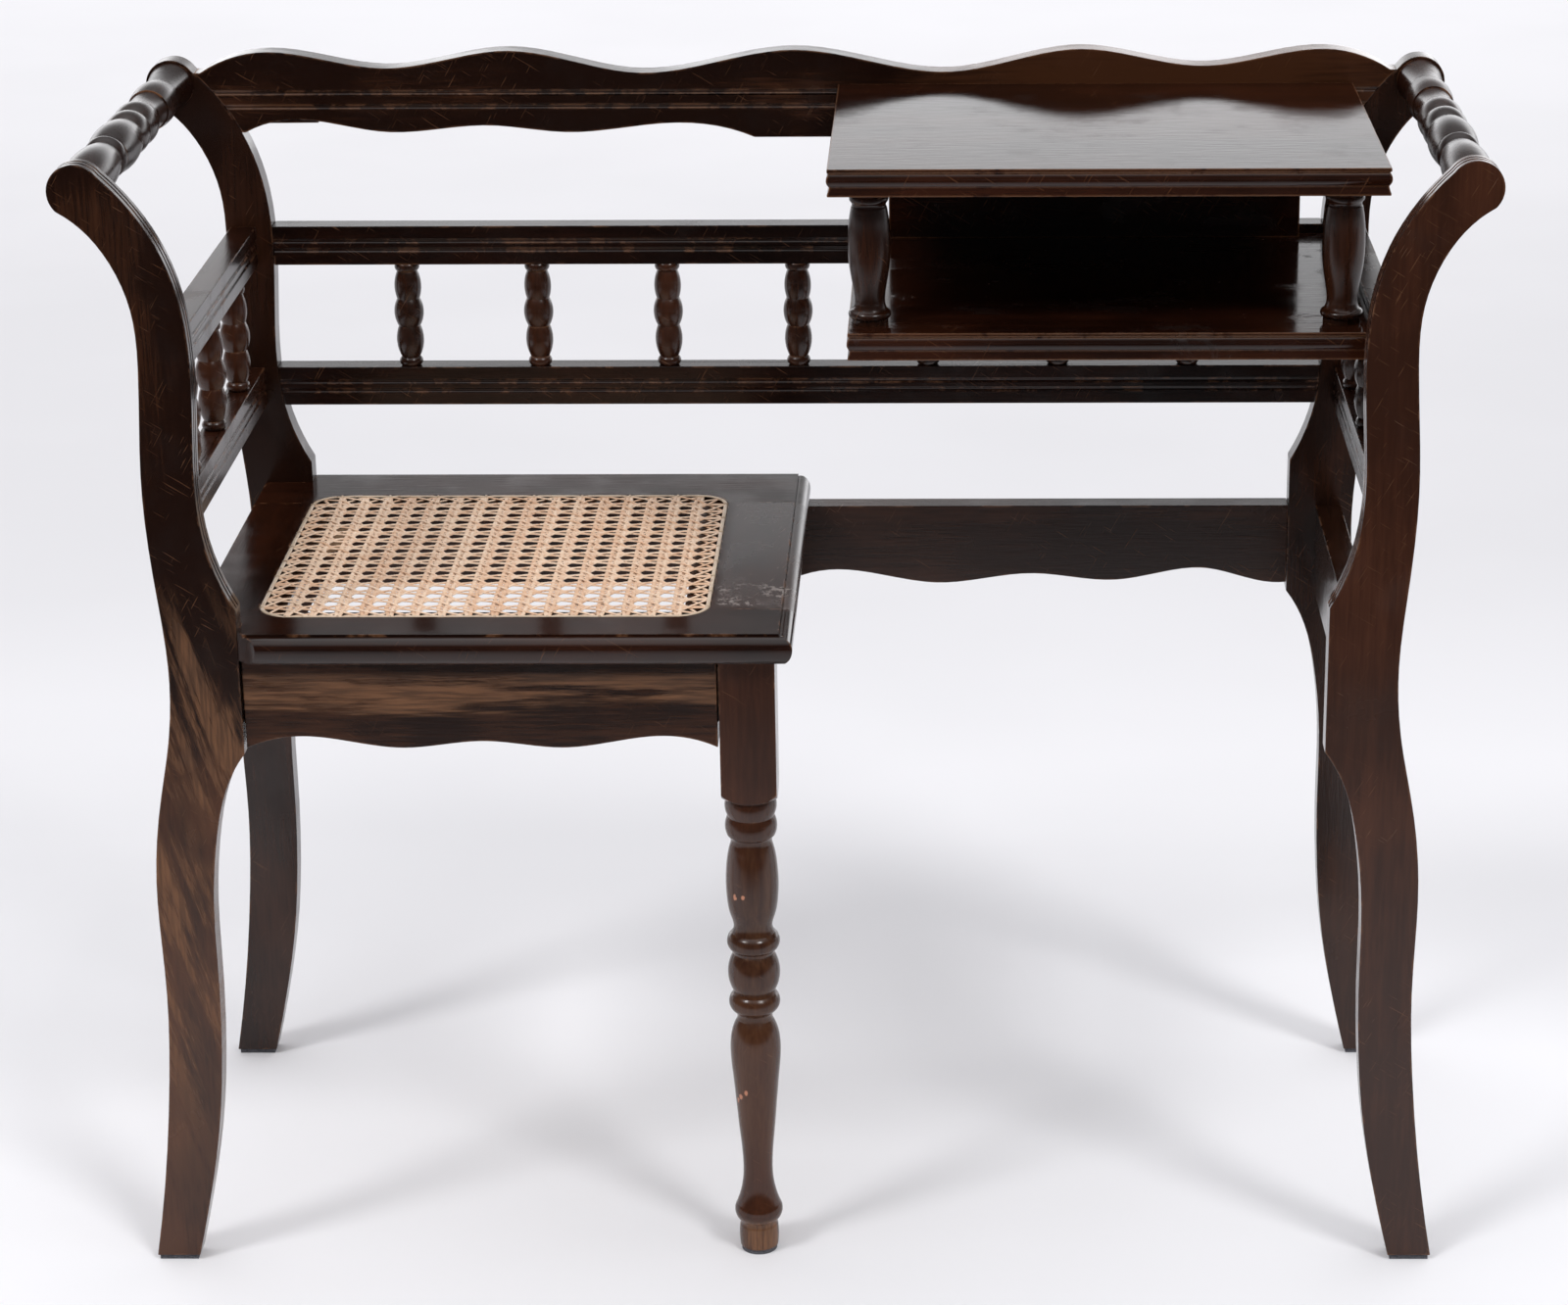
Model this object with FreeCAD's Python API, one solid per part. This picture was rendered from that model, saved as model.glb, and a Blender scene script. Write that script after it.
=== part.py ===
import FreeCAD, Part
import math
import os

# Telephone bench: a caned seat on the left, a directory shelf on the right,
# in one long frame of sawn posts, turned arms and rails with short spindles.
# Millimetres, +Z up. The origin is on the floor, in the middle of the bench.
# +X runs to the shelf end and +Y to the back.

# Frame
ARM_SPAN = 868.0
FRAME_DEPTH = 341.0
STOCK = 18.0
FIT = 0.2
TENON_LENGTH = 11.0
TENON_THICK = 6.0
TENON_SHOULDER = 4.0
PAD_THICK = 3.5
PAD_LENGTH = 26.0
PAD_WIDTH = 15.0

# Posts, drawn in the front plane as distances inwards from the arm axis
SCROLL_RADIUS = 17.5
SCROLL_START = -46.0
SCROLL_END = 145.0
BLOCK_SETBACK = 82.5
BLOCK_BELOW_SEAT = 65.0
BLOCK_ABOVE_SEAT = 15.0
FOOT_OUTER = 0.0
FOOT_INNER = 29.0
REED_DEPTH = 1.3
REED_WIDTH = 1.7
REED_PITCH = 5.6
REED_STEPS = 14

# Rails and spindles
RAIL_HEIGHT = 27.8
LOWER_RAIL_RISE = 58.0
SPINDLE_LENGTH = 75.0
ARM_ABOVE_RAIL = 100.9
SPINDLE_PITCH = 92.3
BACK_SPINDLES = 7
SIDE_SPINDLE_PITCH = 95.0
SIDE_SPINDLES = 3
SPINDLE_TENON = 8.0
SPINDLE_TENON_RADIUS = 4.0
BACK_SPINDLE_FORWARD = 1.4
SIDE_RAIL_SETBACK = 44.0
GROOVE_RADIUS = 1.6
GROOVE_DEPTH = 0.9
RAIL_GROOVES = (10.6, 17.1)
CREST_GROOVES = (-5.5, -15.5)
ARM_TENON_RADIUS = 6.0
CREST_TENON_HEIGHT = 18.0
CREST_TENON_DROP = 28.0

# Seat and its frame
SEAT_HEIGHT = 455.0
SEAT_THICK = 19.0
SEAT_WIDTH = 383.0
SEAT_OVERHANG = 4.0
SEAT_NOSE = 9.0
SEAT_NOSE_UNDER = 4.0
SEAT_NOSE_DROP = 8.0
SEAT_QUIRK = 1.5
SEAT_CORNER = 11.0
NOSE_END_CUT = 13.0
APRON_HEIGHT = 62.0
APRON_SETBACK = 54.0
FRONT_APRON_RECESS = 3.0
REAR_WAVE_INSET = 11.0
APRON_GAP = 1.3
SEAT_FRONT_RAIL = 44.5
SEAT_BACK_RAIL = 68.0
SEAT_TENON = 20.0
SEAT_TENON_WIDTH = 28.0

# Cane: field edge, lattice of gaps, binder, and the holes that hold it
CANE_LEFT = 40.0
CANE_RIGHT = 47.0
CANE_FRONT = 30.0
CANE_BACK = 50.0
CANE_CORNER = 22.5
CANE_LEDGE = 17.0
CANE_BED = 1.8
CANE_THICK = 1.6
BINDER_WIDTH = 3.3
BINDER_PROUD = 0.4
CANE_PITCH_X = 17.1
CANE_PITCH_Y = 15.7
CANE_MARGIN = 2.0
CANE_GAP_X = 9.4
CANE_GAP_Y = 8.6
CANE_GAP_CUT = 2.5
CANING_HOLE_RADIUS = 2.0

# Turned leg
LEG_SQUARE = 36.5
LEG_INSET_X = 21.5
LEG_INSET_Y = 19.5
LEG_BLOCK_BELOW_APRON = 31.0
LEG_SHOULDER = 9.0
LEG_SHOULDER_RADIUS = 17.3
LEG_PAD_RADIUS = 12.0

# Shelves
UPPER_SHELF_LEFT = 30.0
UPPER_SHELF_SETBACK = 45.5
UPPER_SHELF_DEPTH = 264.0
LOWER_SHELF_LEFT = 42.0
LOWER_SHELF_DEPTH = 265.0
SHELF_ABOVE_RAIL = 3.2
UPPER_SHELF_DROP = 18.5
COLUMN_INSET_LEFT = 14.5
COLUMN_INSET_RIGHT = 19.5
COLUMN_INSET_FRONT = 29.0
COLUMN_TENON = 8.0
COLUMN_TENON_RADIUS = 5.0
BACK_BOARD_THICK = 12.0
BACK_BOARD_INSET = 9.0
SHELF_SCREW_SPREAD = 200.0
SHELF_LIP = 0.5
SHELF_QUIRK = 1.9

# Corner blocks and screws
CORNER_BLOCK = 45.0
CORNER_BLOCK_HEIGHT = 30.0
SCREW_RADIUS = 2.0
SCREW_HEAD_RADIUS = 4.0
SCREW_HEAD = 2.6
SCREW_SINK = 0.5
SCREW_BITE = 12.0
SHELF_SCREW_BITE = 24.0
BLOCK_SCREW_INSET = 12.0

# Places worked out from the sizes
ARM_X = ARM_SPAN / 2
SEAT_TIP = SEAT_NOSE + SEAT_NOSE_UNDER
FRONT = (SEAT_TIP - FRAME_DEPTH) / 2
BACK = FRONT + FRAME_DEPTH
POST_BACK = FRONT + STOCK
REAR_FACE = BACK - STOCK
SEAT_UNDER = SEAT_HEIGHT - SEAT_THICK
BLOCK_BOTTOM = SEAT_UNDER - BLOCK_BELOW_SEAT
BLOCK_TOP = SEAT_HEIGHT + BLOCK_ABOVE_SEAT
BLOCK_X = ARM_X - BLOCK_SETBACK
APRON_BOTTOM = SEAT_UNDER - APRON_HEIGHT
APRON_X = ARM_X - APRON_SETBACK
SIDE_RAIL_X = ARM_X - SIDE_RAIL_SETBACK
LOWER_RAIL = SEAT_HEIGHT + LOWER_RAIL_RISE
MID_RAIL = LOWER_RAIL + RAIL_HEIGHT + SPINDLE_LENGTH
ARM_HEIGHT = MID_RAIL + RAIL_HEIGHT + ARM_ABOVE_RAIL
SEAT_LEFT = SEAT_OVERHANG - APRON_X - STOCK / 2
SEAT_RIGHT = SEAT_LEFT + SEAT_WIDTH
SEAT_FRONT = FRONT - SEAT_NOSE_UNDER
LEG_X = SEAT_RIGHT - LEG_INSET_X
LEG_Y = FRONT + LEG_INSET_Y
LEG_BLOCK_BOTTOM = APRON_BOTTOM - LEG_BLOCK_BELOW_APRON
LOWER_SHELF = MID_RAIL + SHELF_ABOVE_RAIL
UPPER_SHELF = ARM_HEIGHT - UPPER_SHELF_DROP
UPPER_SHELF_RIGHT = ARM_X - UPPER_SHELF_SETBACK
LOWER_SHELF_RIGHT = SIDE_RAIL_X - STOCK / 2

# Post outline: distance inwards from the arm axis, then the share of the
# height between the foot and the block, within the block, or from the block
# up to the arm axis.
LEG_OUTER = ((8.6, 0.146), (16.5, 0.344), (19.7, 0.548), (18.3, 0.739), (24.0, 0.891))
BLOCK_OUTER = ((33.5, 0.101), (36.6, 0.586))
UPPER_OUTER = ((31.5, 0.073), (28.0, 0.310), (31.4, 0.583), (29.5, 0.721), (19.0, 0.831), (2.5, 0.914))
UPPER_INNER = ((25.0, 0.997), (50.5, 0.855), (61.0, 0.730), (64.0, 0.638), (62.0, 0.346),
               (65.7, 0.160), (76.5, 0.042))
LEG_INNER = ((70.0, 0.940), (60.5, 0.839), (55.3, 0.698), (55.2, 0.562), (54.0, 0.426),
             (49.6, 0.284), (41.1, 0.146))

# Crest rail outline: share of the arm axis distance, height from the arm axis
CREST_TOP = ((0.0, 23.5), (0.249, 7.9), (0.459, 23.5), (0.654, 11.5), (0.850, 23.0), (0.953, 8.5))
CREST_UNDER = ((0.885, -33.5), (0.804, -24.5), (0.659, -33.5), (0.495, -29.0), (0.366, -34.0),
               (0.209, -27.8), (0.065, -37.8))
# Wavy lower edges: share of the rear apron's length right of the seat, or of the
# front apron's length, and height above the front apron's lowest line
REAR_WAVE = ((0.0, 3.5), (0.107, 13.7), (0.307, 3.5), (0.494, 10.5), (0.662, 5.5), (0.838, 14.4),
             (0.972, 3.4), (1.0, 3.6))
FRONT_WAVE = ((0.0, 0.0), (0.134, 8.0), (0.331, 0.0), (0.502, 4.6), (0.673, 0.0), (0.880, 8.0),
              (1.0, 0.0))

# Turned profiles, as runs of (height, radius) points: one point is reached by
# a straight line, two by an arc through the first, and more by a smooth curve.
SPINDLE_START = 6.6
SPINDLE = (((3.2, 8.3), (6.5, 6.6)), ((19.0, 9.6), (29.0, 7.7)), ((39.5, 10.4), (49.0, 8.0)),
           ((60.0, 9.4), (69.8, 6.9)), ((70.0, 8.0),), ((72.4, 8.8), (75.0, 8.0)))
COLUMN_START = 12.0
COLUMN = (((3.4, 12.0),), ((6.0, 13.9), (8.6, 12.2)), ((9.4, 11.4),),
          ((12.5, 10.2), (17.0, 10.0), (26.0, 11.2), (39.0, 13.2), (52.0, 13.8), (66.0, 13.2),
           (76.5, 11.6)),
          ((78.5, 11.0), (80.2, 11.9)), ((82.2, 12.7), (84.2, 11.9)), ((84.8, 12.4),),
          ((87.0, 13.9), (89.0, 13.2)))
ARM_START = 12.5
ARM = (((36.0, 15.5), (72.0, 12.0)), ((78.0, 14.2), (84.0, 12.9)), ((84.0, 13.5),),
       ((111.0, 15.8), (138.5, 13.0)), ((151.0, 15.0), (164.0, 12.9)), ((179.0, 15.1), (194.5, 12.6)),
       ((208.0, 12.0), (222.0, 13.2)), ((222.0, 14.0),), ((241.0, 15.3), (258.0, 13.9)),
       ((261.0, 12.8),), ((281.0, 13.3), (305.0, 15.8)))
LEG_START = 12.9
LEG = (((9.0, 13.4), (15.0, 13.0)), ((18.0, 12.7), (20.3, 14.2)), ((26.3, 16.3), (31.5, 14.9)),
       ((40.5, 12.0), (50.3, 10.3), (63.0, 10.0), (87.5, 12.0), (106.0, 13.6), (124.4, 15.2),
        (139.0, 16.6), (151.4, 16.9), (160.5, 15.7), (169.5, 12.1)),
       ((171.7, 11.8), (174.5, 12.6)), ((176.5, 14.6),), ((182.5, 17.2), (188.5, 14.6)),
       ((190.5, 13.8),), ((204.2, 17.5), (217.8, 13.8)), ((220.6, 15.0),),
       ((227.1, 17.7), (233.0, 14.4)),
       ((236.5, 13.0), (247.1, 15.3), (257.5, 17.0), (268.5, 17.6), (278.5, 17.2), (289.5, 15.9),
        (297.5, 13.9)),
       ((300.8, 14.0), (303.6, 16.0)), ((310.5, 17.3), (316.8, 15.5)), ((318.9, 16.2),),
       ((324.2, 17.3), (329.5, 16.4)), ((330.5, 16.4),))


def at(x, y, z):
    return FreeCAD.Vector(x, y, z)


def line(a, b):
    return Part.LineSegment(a, b).toShape()


def arc(a, via, b):
    return Part.Arc(a, via, b).toShape()


def curve(points):
    spline = Part.BSplineCurve()
    spline.interpolate(points)
    return spline.toShape()


def box(x, y, z):
    low = at(x[0], y[0], z[0])
    return Part.makeBox(x[1] - x[0], y[1] - y[0], z[1] - z[0], low)


def prism(edges, along):
    return Part.Face(Part.Wire(edges)).extrude(along)


def plan_prism(corners, z):
    points = [at(x, y, z[0]) for x, y in corners]
    return Part.Face(Part.makePolygon(points + points[:1])).extrude(at(0, 0, z[1] - z[0]))


def mirrored(shape):
    return shape.mirror(at(0, 0, 0), at(1, 0, 0))


def largest(shape):
    return max(shape.Solids, key=lambda solid: solid.Volume)


def turned(start, runs, length, tenon_radius, tenon_low, tenon_high):
    # A turning that stands on Z = 0, its pattern stretched to the length,
    # with a round tenon at each end. A tenon length of 0 leaves it out.
    stretch = length / runs[-1][-1][0]
    here = at(start, 0, 0)
    edges = []
    if tenon_low:
        edges.append(line(at(0, 0, -tenon_low), at(tenon_radius, 0, -tenon_low)))
        edges.append(line(at(tenon_radius, 0, -tenon_low), at(tenon_radius, 0, 0)))
        edges.append(line(at(tenon_radius, 0, 0), here))
    else:
        edges.append(line(at(0, 0, 0), here))
    for run in runs:
        points = [at(radius, 0, height * stretch) for height, radius in run]
        if len(points) == 1:
            edges.append(line(here, points[0]))
        elif len(points) == 2:
            edges.append(arc(here, points[0], points[1]))
        else:
            edges.append(curve([here] + points))
        here = points[-1]
    if tenon_high:
        edges.append(line(here, at(tenon_radius, 0, length)))
        edges.append(line(at(tenon_radius, 0, length), at(tenon_radius, 0, length + tenon_high)))
        here = at(tenon_radius, 0, length + tenon_high)
    top = at(0, 0, length + tenon_high)
    edges.append(line(here, top))
    edges.append(line(top, at(0, 0, -tenon_low)))
    return Part.Face(Part.Wire(edges)).revolve(at(0, 0, 0), at(0, 0, 1), 360)


def placed(shape, x, y, z):
    moved = shape.copy()
    moved.translate(at(x, y, z))
    return moved


def laid_back(shape):
    # Turns a standing piece so that its foot faces the front.
    turned_shape = shape.copy()
    turned_shape.rotate(at(0, 0, 0), at(1, 0, 0), -90)
    return turned_shape


def bore(piece, x, y, z, radius, depth, direction):
    hole = Part.makeCylinder(radius + FIT, depth + FIT, at(x, y, z), direction)
    return piece.cut(hole)


UP = at(0, 0, 1)
DOWN = at(0, 0, -1)
BACKWARDS = at(0, 1, 0)
FORWARDS = at(0, -1, 0)
parts = {}


def house(tenoned, mortised, x, y, z):
    # A stub tenon on one piece and its mortise, a little larger, in the other.
    parts[tenoned] = parts[tenoned].fuse(box(x, y, z)).removeSplitter()
    socket = box((x[0] - FIT, x[1] + FIT), (y[0] - FIT, y[1] + FIT), (z[0] - FIT, z[1] + FIT))
    parts[mortised] = parts[mortised].cut(socket)


# Post outline

def share_of(low, high, points):
    return [at(ARM_X - inwards, 0, low + share * (high - low)) for inwards, share in points]


def scroll_point(degrees):
    angle = math.radians(degrees)
    return at(ARM_X + SCROLL_RADIUS * math.cos(angle), 0, ARM_HEIGHT + SCROLL_RADIUS * math.sin(angle))


def post_edges():
    # From the foot up the outer side, over the scroll and down the inner side.
    foot_outer = at(ARM_X - FOOT_OUTER, 0, PAD_THICK)
    foot_inner = at(ARM_X - FOOT_INNER, 0, PAD_THICK)
    block_low = at(BLOCK_X, 0, BLOCK_BOTTOM)
    block_high = at(BLOCK_X, 0, BLOCK_TOP)
    outer = share_of(PAD_THICK, BLOCK_BOTTOM, LEG_OUTER)
    outer += share_of(BLOCK_BOTTOM, BLOCK_TOP, BLOCK_OUTER)
    outer += share_of(BLOCK_TOP, ARM_HEIGHT, UPPER_OUTER)
    upper = share_of(BLOCK_TOP, ARM_HEIGHT, UPPER_INNER)
    lower = share_of(PAD_THICK, BLOCK_BOTTOM, LEG_INNER)
    scroll_low = scroll_point(SCROLL_START)
    scroll_high = scroll_point(SCROLL_END)
    return [curve([foot_outer] + outer + [scroll_low]),
            arc(scroll_low, scroll_point((SCROLL_START + SCROLL_END) / 2), scroll_high),
            curve([scroll_high] + upper + [block_high]),
            line(block_high, block_low),
            curve([block_low] + lower + [foot_inner]),
            line(foot_inner, foot_outer)]


OUTER_EDGE, SCROLL_EDGE, INNER_EDGE, *FOOT_EDGES = post_edges()
OUTLINE = Part.Face(Part.Wire([OUTER_EDGE, SCROLL_EDGE, INNER_EDGE] + FOOT_EDGES))
ENVELOPE = placed(OUTLINE.extrude(at(0, FRAME_DEPTH * 2, 0)), -FIT, FRONT - FRAME_DEPTH / 2, 0)


def reeds():
    # Two grooves that follow the post's edge over the scroll and down its
    # inner side to the block.
    outside = []
    bottom = []
    for edge in (SCROLL_EDGE, INNER_EDGE):
        for step in range(REED_STEPS + 1):
            if outside and step == 0:
                continue
            place = edge.getParameterByLength(edge.Length * step / REED_STEPS)
            along = edge.tangentAt(place)
            inwards = at(-along.z, 0, along.x)
            outside.append(edge.valueAt(place) - inwards)
            bottom.append(edge.valueAt(place) + inwards * REED_DEPTH)
    band = [curve(outside), line(outside[-1], bottom[-1]), curve(bottom[::-1]), line(bottom[0], outside[0])]
    blank = prism(band, at(0, REED_WIDTH, 0))
    middle = FRONT + (STOCK - REED_WIDTH) / 2
    return [placed(blank, 0, middle + side * REED_PITCH / 2, 0) for side in (-1, 1)]


def make_posts():
    rear = placed(OUTLINE.extrude(at(0, STOCK, 0)), 0, REAR_FACE, 0)
    front = placed(OUTLINE.extrude(at(0, STOCK, 0)), 0, FRONT, 0)
    for groove in reeds():
        front = front.cut(groove)
    parts["front_right_post"] = front
    parts["front_left_post"] = mirrored(front)
    parts["rear_right_post"] = rear
    parts["rear_left_post"] = mirrored(rear)


def between_posts(blank):
    return largest(blank.cut(ENVELOPE).cut(mirrored(ENVELOPE)))


# Rails

def groove_line(x, y, z, length, direction):
    return Part.makeCylinder(GROOVE_RADIUS, length, at(x, y, z), direction)


def front_grooves(rail, heights):
    sunk = REAR_FACE + GROOVE_DEPTH - GROOVE_RADIUS
    for height in heights:
        rail = rail.cut(groove_line(-ARM_X, sunk, height, ARM_SPAN, at(1, 0, 0)))
    return rail


def make_back_rail(name, bottom):
    blank = box((-ARM_X, ARM_X), (REAR_FACE, BACK), (bottom, bottom + RAIL_HEIGHT))
    blank = front_grooves(blank, [bottom + height for height in RAIL_GROOVES])
    parts[name] = between_posts(blank)


def make_crest_rail():
    def over(points, side):
        return [at(side * share * ARM_X, REAR_FACE, ARM_HEIGHT + rise) for share, rise in points]

    end = scroll_point(SCROLL_END).x
    top = over(CREST_TOP[::-1], -1) + over(CREST_TOP[1:], 1)
    left = over(CREST_UNDER, -1)
    right = over(CREST_UNDER, 1)[::-1]
    corner_left = at(-end, REAR_FACE, top[0].z)
    corner_right = at(end, REAR_FACE, top[-1].z)
    heel_left = at(-end, REAR_FACE, left[0].z)
    heel_right = at(end, REAR_FACE, right[-1].z)
    edges = [line(corner_left, top[0]), curve(top), line(top[-1], corner_right),
             line(corner_right, heel_right), line(heel_right, right[-1]), curve(right[::-1]),
             line(right[0], left[-1]), curve(left[::-1]), line(left[0], heel_left),
             line(heel_left, corner_left)]
    blank = prism(edges, at(0, STOCK, 0))
    blank = front_grooves(blank, [ARM_HEIGHT + height for height in CREST_GROOVES])
    parts["crest_rail"] = between_posts(blank)


def inner_edge_at(height):
    # Distance of the post's inner edge from the middle of the bench.
    ray = line(at(0, 0, height), at(ARM_X, 0, height))
    return ray.common(OUTLINE).BoundBox.XMin


def tenon_depth():
    middle = REAR_FACE + STOCK / 2
    return (middle - TENON_THICK / 2, middle + TENON_THICK / 2)


def join_back_rail(name, bottom, top):
    edge = max(inner_edge_at(bottom), inner_edge_at(top))
    z = (bottom, top)
    house(name, "rear_right_post", (BLOCK_X - STOCK, edge + TENON_LENGTH), tenon_depth(), z)
    house(name, "rear_left_post", (-edge - TENON_LENGTH, STOCK - BLOCK_X), tenon_depth(), z)


def make_side_rail(side, name, bottom, front_post, rear_post):
    middle = side * SIDE_RAIL_X
    x = (middle - STOCK / 2, middle + STOCK / 2)
    rail = box(x, (POST_BACK, REAR_FACE), (bottom, bottom + RAIL_HEIGHT))
    inner = middle - side * (STOCK / 2 + GROOVE_RADIUS - GROOVE_DEPTH)
    for height in RAIL_GROOVES:
        rail = rail.cut(groove_line(inner, POST_BACK, bottom + height, REAR_FACE - POST_BACK, BACKWARDS))
    parts[name] = rail
    z = (bottom + TENON_SHOULDER, bottom + RAIL_HEIGHT - TENON_SHOULDER)
    tenon_between(name, middle, z, front_post, rear_post)


def tenon_between(name, middle, z, front_piece, rear_piece):
    x = (middle - TENON_THICK / 2, middle + TENON_THICK / 2)
    low = parts[name].BoundBox.YMin
    high = parts[name].BoundBox.YMax
    house(name, front_piece, x, (low - TENON_LENGTH, low + TENON_SHOULDER), z)
    house(name, rear_piece, x, (high - TENON_SHOULDER, high + TENON_LENGTH), z)


def make_spindles(name, places, lower, upper):
    blank = turned(SPINDLE_START, SPINDLE, SPINDLE_LENGTH, SPINDLE_TENON_RADIUS, SPINDLE_TENON,
                   SPINDLE_TENON)
    top = LOWER_RAIL + RAIL_HEIGHT
    for number, (x, y) in enumerate(places, start=1):
        parts[f"{name}_{number}"] = placed(blank, x, y, top)
        parts[lower] = bore(parts[lower], x, y, top, SPINDLE_TENON_RADIUS, SPINDLE_TENON, DOWN)
        parts[upper] = bore(parts[upper], x, y, MID_RAIL, SPINDLE_TENON_RADIUS, SPINDLE_TENON, UP)


def make_arm(side, name, front_post, rear_post):
    length = REAR_FACE - POST_BACK
    arm = laid_back(turned(ARM_START, ARM, length, ARM_TENON_RADIUS, TENON_LENGTH, TENON_LENGTH))
    parts[name] = placed(arm, side * ARM_X, POST_BACK, ARM_HEIGHT)
    parts[front_post] = bore(parts[front_post], side * ARM_X, POST_BACK, ARM_HEIGHT,
                             ARM_TENON_RADIUS, TENON_LENGTH, FORWARDS)
    parts[rear_post] = bore(parts[rear_post], side * ARM_X, REAR_FACE, ARM_HEIGHT,
                            ARM_TENON_RADIUS, TENON_LENGTH, BACKWARDS)


# Turned leg and aprons

def make_turned_leg():
    length = LEG_BLOCK_BOTTOM - LEG_SHOULDER - PAD_THICK
    stem = turned(LEG_START, LEG, length, ARM_TENON_RADIUS, 0, 0)
    half = LEG_SQUARE / 2
    corner = half * math.sqrt(2) + 1
    height = SEAT_UNDER - LEG_BLOCK_BOTTOM
    square = box((-half, half), (-half, half), (0, height + LEG_SHOULDER))
    edges = [line(at(0, 0, 0), at(LEG_SHOULDER_RADIUS, 0, 0)),
             arc(at(LEG_SHOULDER_RADIUS, 0, 0), at((LEG_SHOULDER_RADIUS + corner) / 2 + 1, 0, LEG_SHOULDER * 0.4),
                 at(corner, 0, LEG_SHOULDER)),
             line(at(corner, 0, LEG_SHOULDER), at(corner, 0, height + LEG_SHOULDER)),
             line(at(corner, 0, height + LEG_SHOULDER), at(0, 0, height + LEG_SHOULDER)),
             line(at(0, 0, height + LEG_SHOULDER), at(0, 0, 0))]
    rounded = Part.Face(Part.Wire(edges)).revolve(at(0, 0, 0), UP, 360)
    block = placed(square.common(rounded), 0, 0, length)
    leg = stem.fuse(block).removeSplitter()
    parts["turned_leg"] = placed(leg, LEG_X, LEG_Y, PAD_THICK)


def wavy_board(left, start, right, wave, y, thick):
    # A board whose top is the seat's underside. Its lower edge is straight as far
    # as start, and wavy from there on.
    points = [at(start + share * (right - start), y, APRON_BOTTOM + rise) for share, rise in wave]
    corner = at(left, y, points[0].z)
    edges = [curve(points), line(points[-1], at(right, y, SEAT_UNDER)),
             line(at(right, y, SEAT_UNDER), at(left, y, SEAT_UNDER)),
             line(at(left, y, SEAT_UNDER), corner)]
    if start > left:
        edges.append(line(corner, points[0]))
    return prism(edges, at(0, thick, 0))


def make_aprons():
    start = SEAT_RIGHT - REAR_WAVE_INSET
    parts["rear_apron"] = wavy_board(FIT - BLOCK_X, start, BLOCK_X - FIT, REAR_WAVE, REAR_FACE, STOCK)
    z = (APRON_BOTTOM + TENON_SHOULDER * 4, SEAT_UNDER - TENON_SHOULDER * 2)
    house("rear_apron", "rear_right_post", (BLOCK_X - STOCK, BLOCK_X + TENON_LENGTH), tenon_depth(), z)
    house("rear_apron", "rear_left_post", (-BLOCK_X - TENON_LENGTH, STOCK - BLOCK_X), tenon_depth(), z)

    face = FRONT + FRONT_APRON_RECESS
    left = -BLOCK_X + APRON_GAP
    right = LEG_X - LEG_SQUARE / 2 - APRON_GAP
    parts["front_apron"] = wavy_board(left, left, right, FRONT_WAVE, face, STOCK)
    y = (face + STOCK / 2 - TENON_THICK / 2, face + STOCK / 2 + TENON_THICK / 2)
    leg_face = LEG_X - LEG_SQUARE / 2
    house("front_apron", "front_left_post", (-BLOCK_X - TENON_LENGTH, left + STOCK), y, z)
    house("front_apron", "turned_leg", (right - STOCK, leg_face + TENON_LENGTH), y, z)

    for side, name, front_post, rear_post in (
            (-1, "left_end_apron", "front_left_post", "rear_left_post"),
            (1, "right_end_apron", "front_right_post", "rear_right_post")):
        middle = side * APRON_X
        x = (middle - STOCK / 2, middle + STOCK / 2)
        parts[name] = box(x, (POST_BACK, REAR_FACE), (APRON_BOTTOM, SEAT_UNDER))
        tenon_between(name, middle, z, front_post, rear_post)

    x = (LEG_X - STOCK / 2, LEG_X + STOCK / 2)
    parts["seat_right_apron"] = box(x, (LEG_Y + LEG_SQUARE / 2, REAR_FACE), (APRON_BOTTOM, SEAT_UNDER))
    tenon_between("seat_right_apron", LEG_X, z, "turned_leg", "rear_apron")


# Seat

def bulge(edge, tip, end):
    # An arc that is upright at the tip and ends at the given point.
    reach = abs(tip[0] - end[0])
    rise = end[1] - tip[1]
    radius = (reach * reach + rise * rise) / (2 * reach)
    half = math.asin(max(-1.0, min(1.0, rise / radius)))
    if reach > radius:
        half = math.copysign(math.pi, rise) - half
    inward = 1 if end[0] > tip[0] else -1
    via = (tip[0] + inward * radius * (1 - math.cos(half / 2)), tip[1] + radius * math.sin(half / 2))
    return edge(tip), edge(via), edge(end)


def nose_profile(edge, top_line, inside, direction):
    # Outline of the seat across a moulded edge. The direction is -1 where the
    # edge faces the negative side.
    tip = (top_line + direction * SEAT_NOSE, SEAT_HEIGHT - SEAT_NOSE_DROP)
    under = (tip[0] - direction * (SEAT_TIP - SEAT_NOSE_DROP), SEAT_UNDER)
    quirk = (top_line, SEAT_HEIGHT - SEAT_QUIRK)
    upper = bulge(edge, tip, quirk)
    lower = bulge(edge, tip, under)
    top = edge((top_line, SEAT_HEIGHT))
    return [line(top, edge(quirk)), arc(upper[2], upper[1], upper[0]), arc(lower[0], lower[1], lower[2]),
            line(edge(under), edge((inside, SEAT_UNDER))), line(edge((inside, SEAT_UNDER)), edge((inside, SEAT_HEIGHT))),
            line(edge((inside, SEAT_HEIGHT)), top)]


def rounded_rectangle(x, y, z, radius):
    face = Part.Face(Part.makePolygon([at(x[0], y[0], z), at(x[1], y[0], z), at(x[1], y[1], z),
                                       at(x[0], y[1], z), at(x[0], y[0], z)]))
    inner = face.makeOffset2D(-radius)
    return inner.makeOffset2D(radius, 0)


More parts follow.
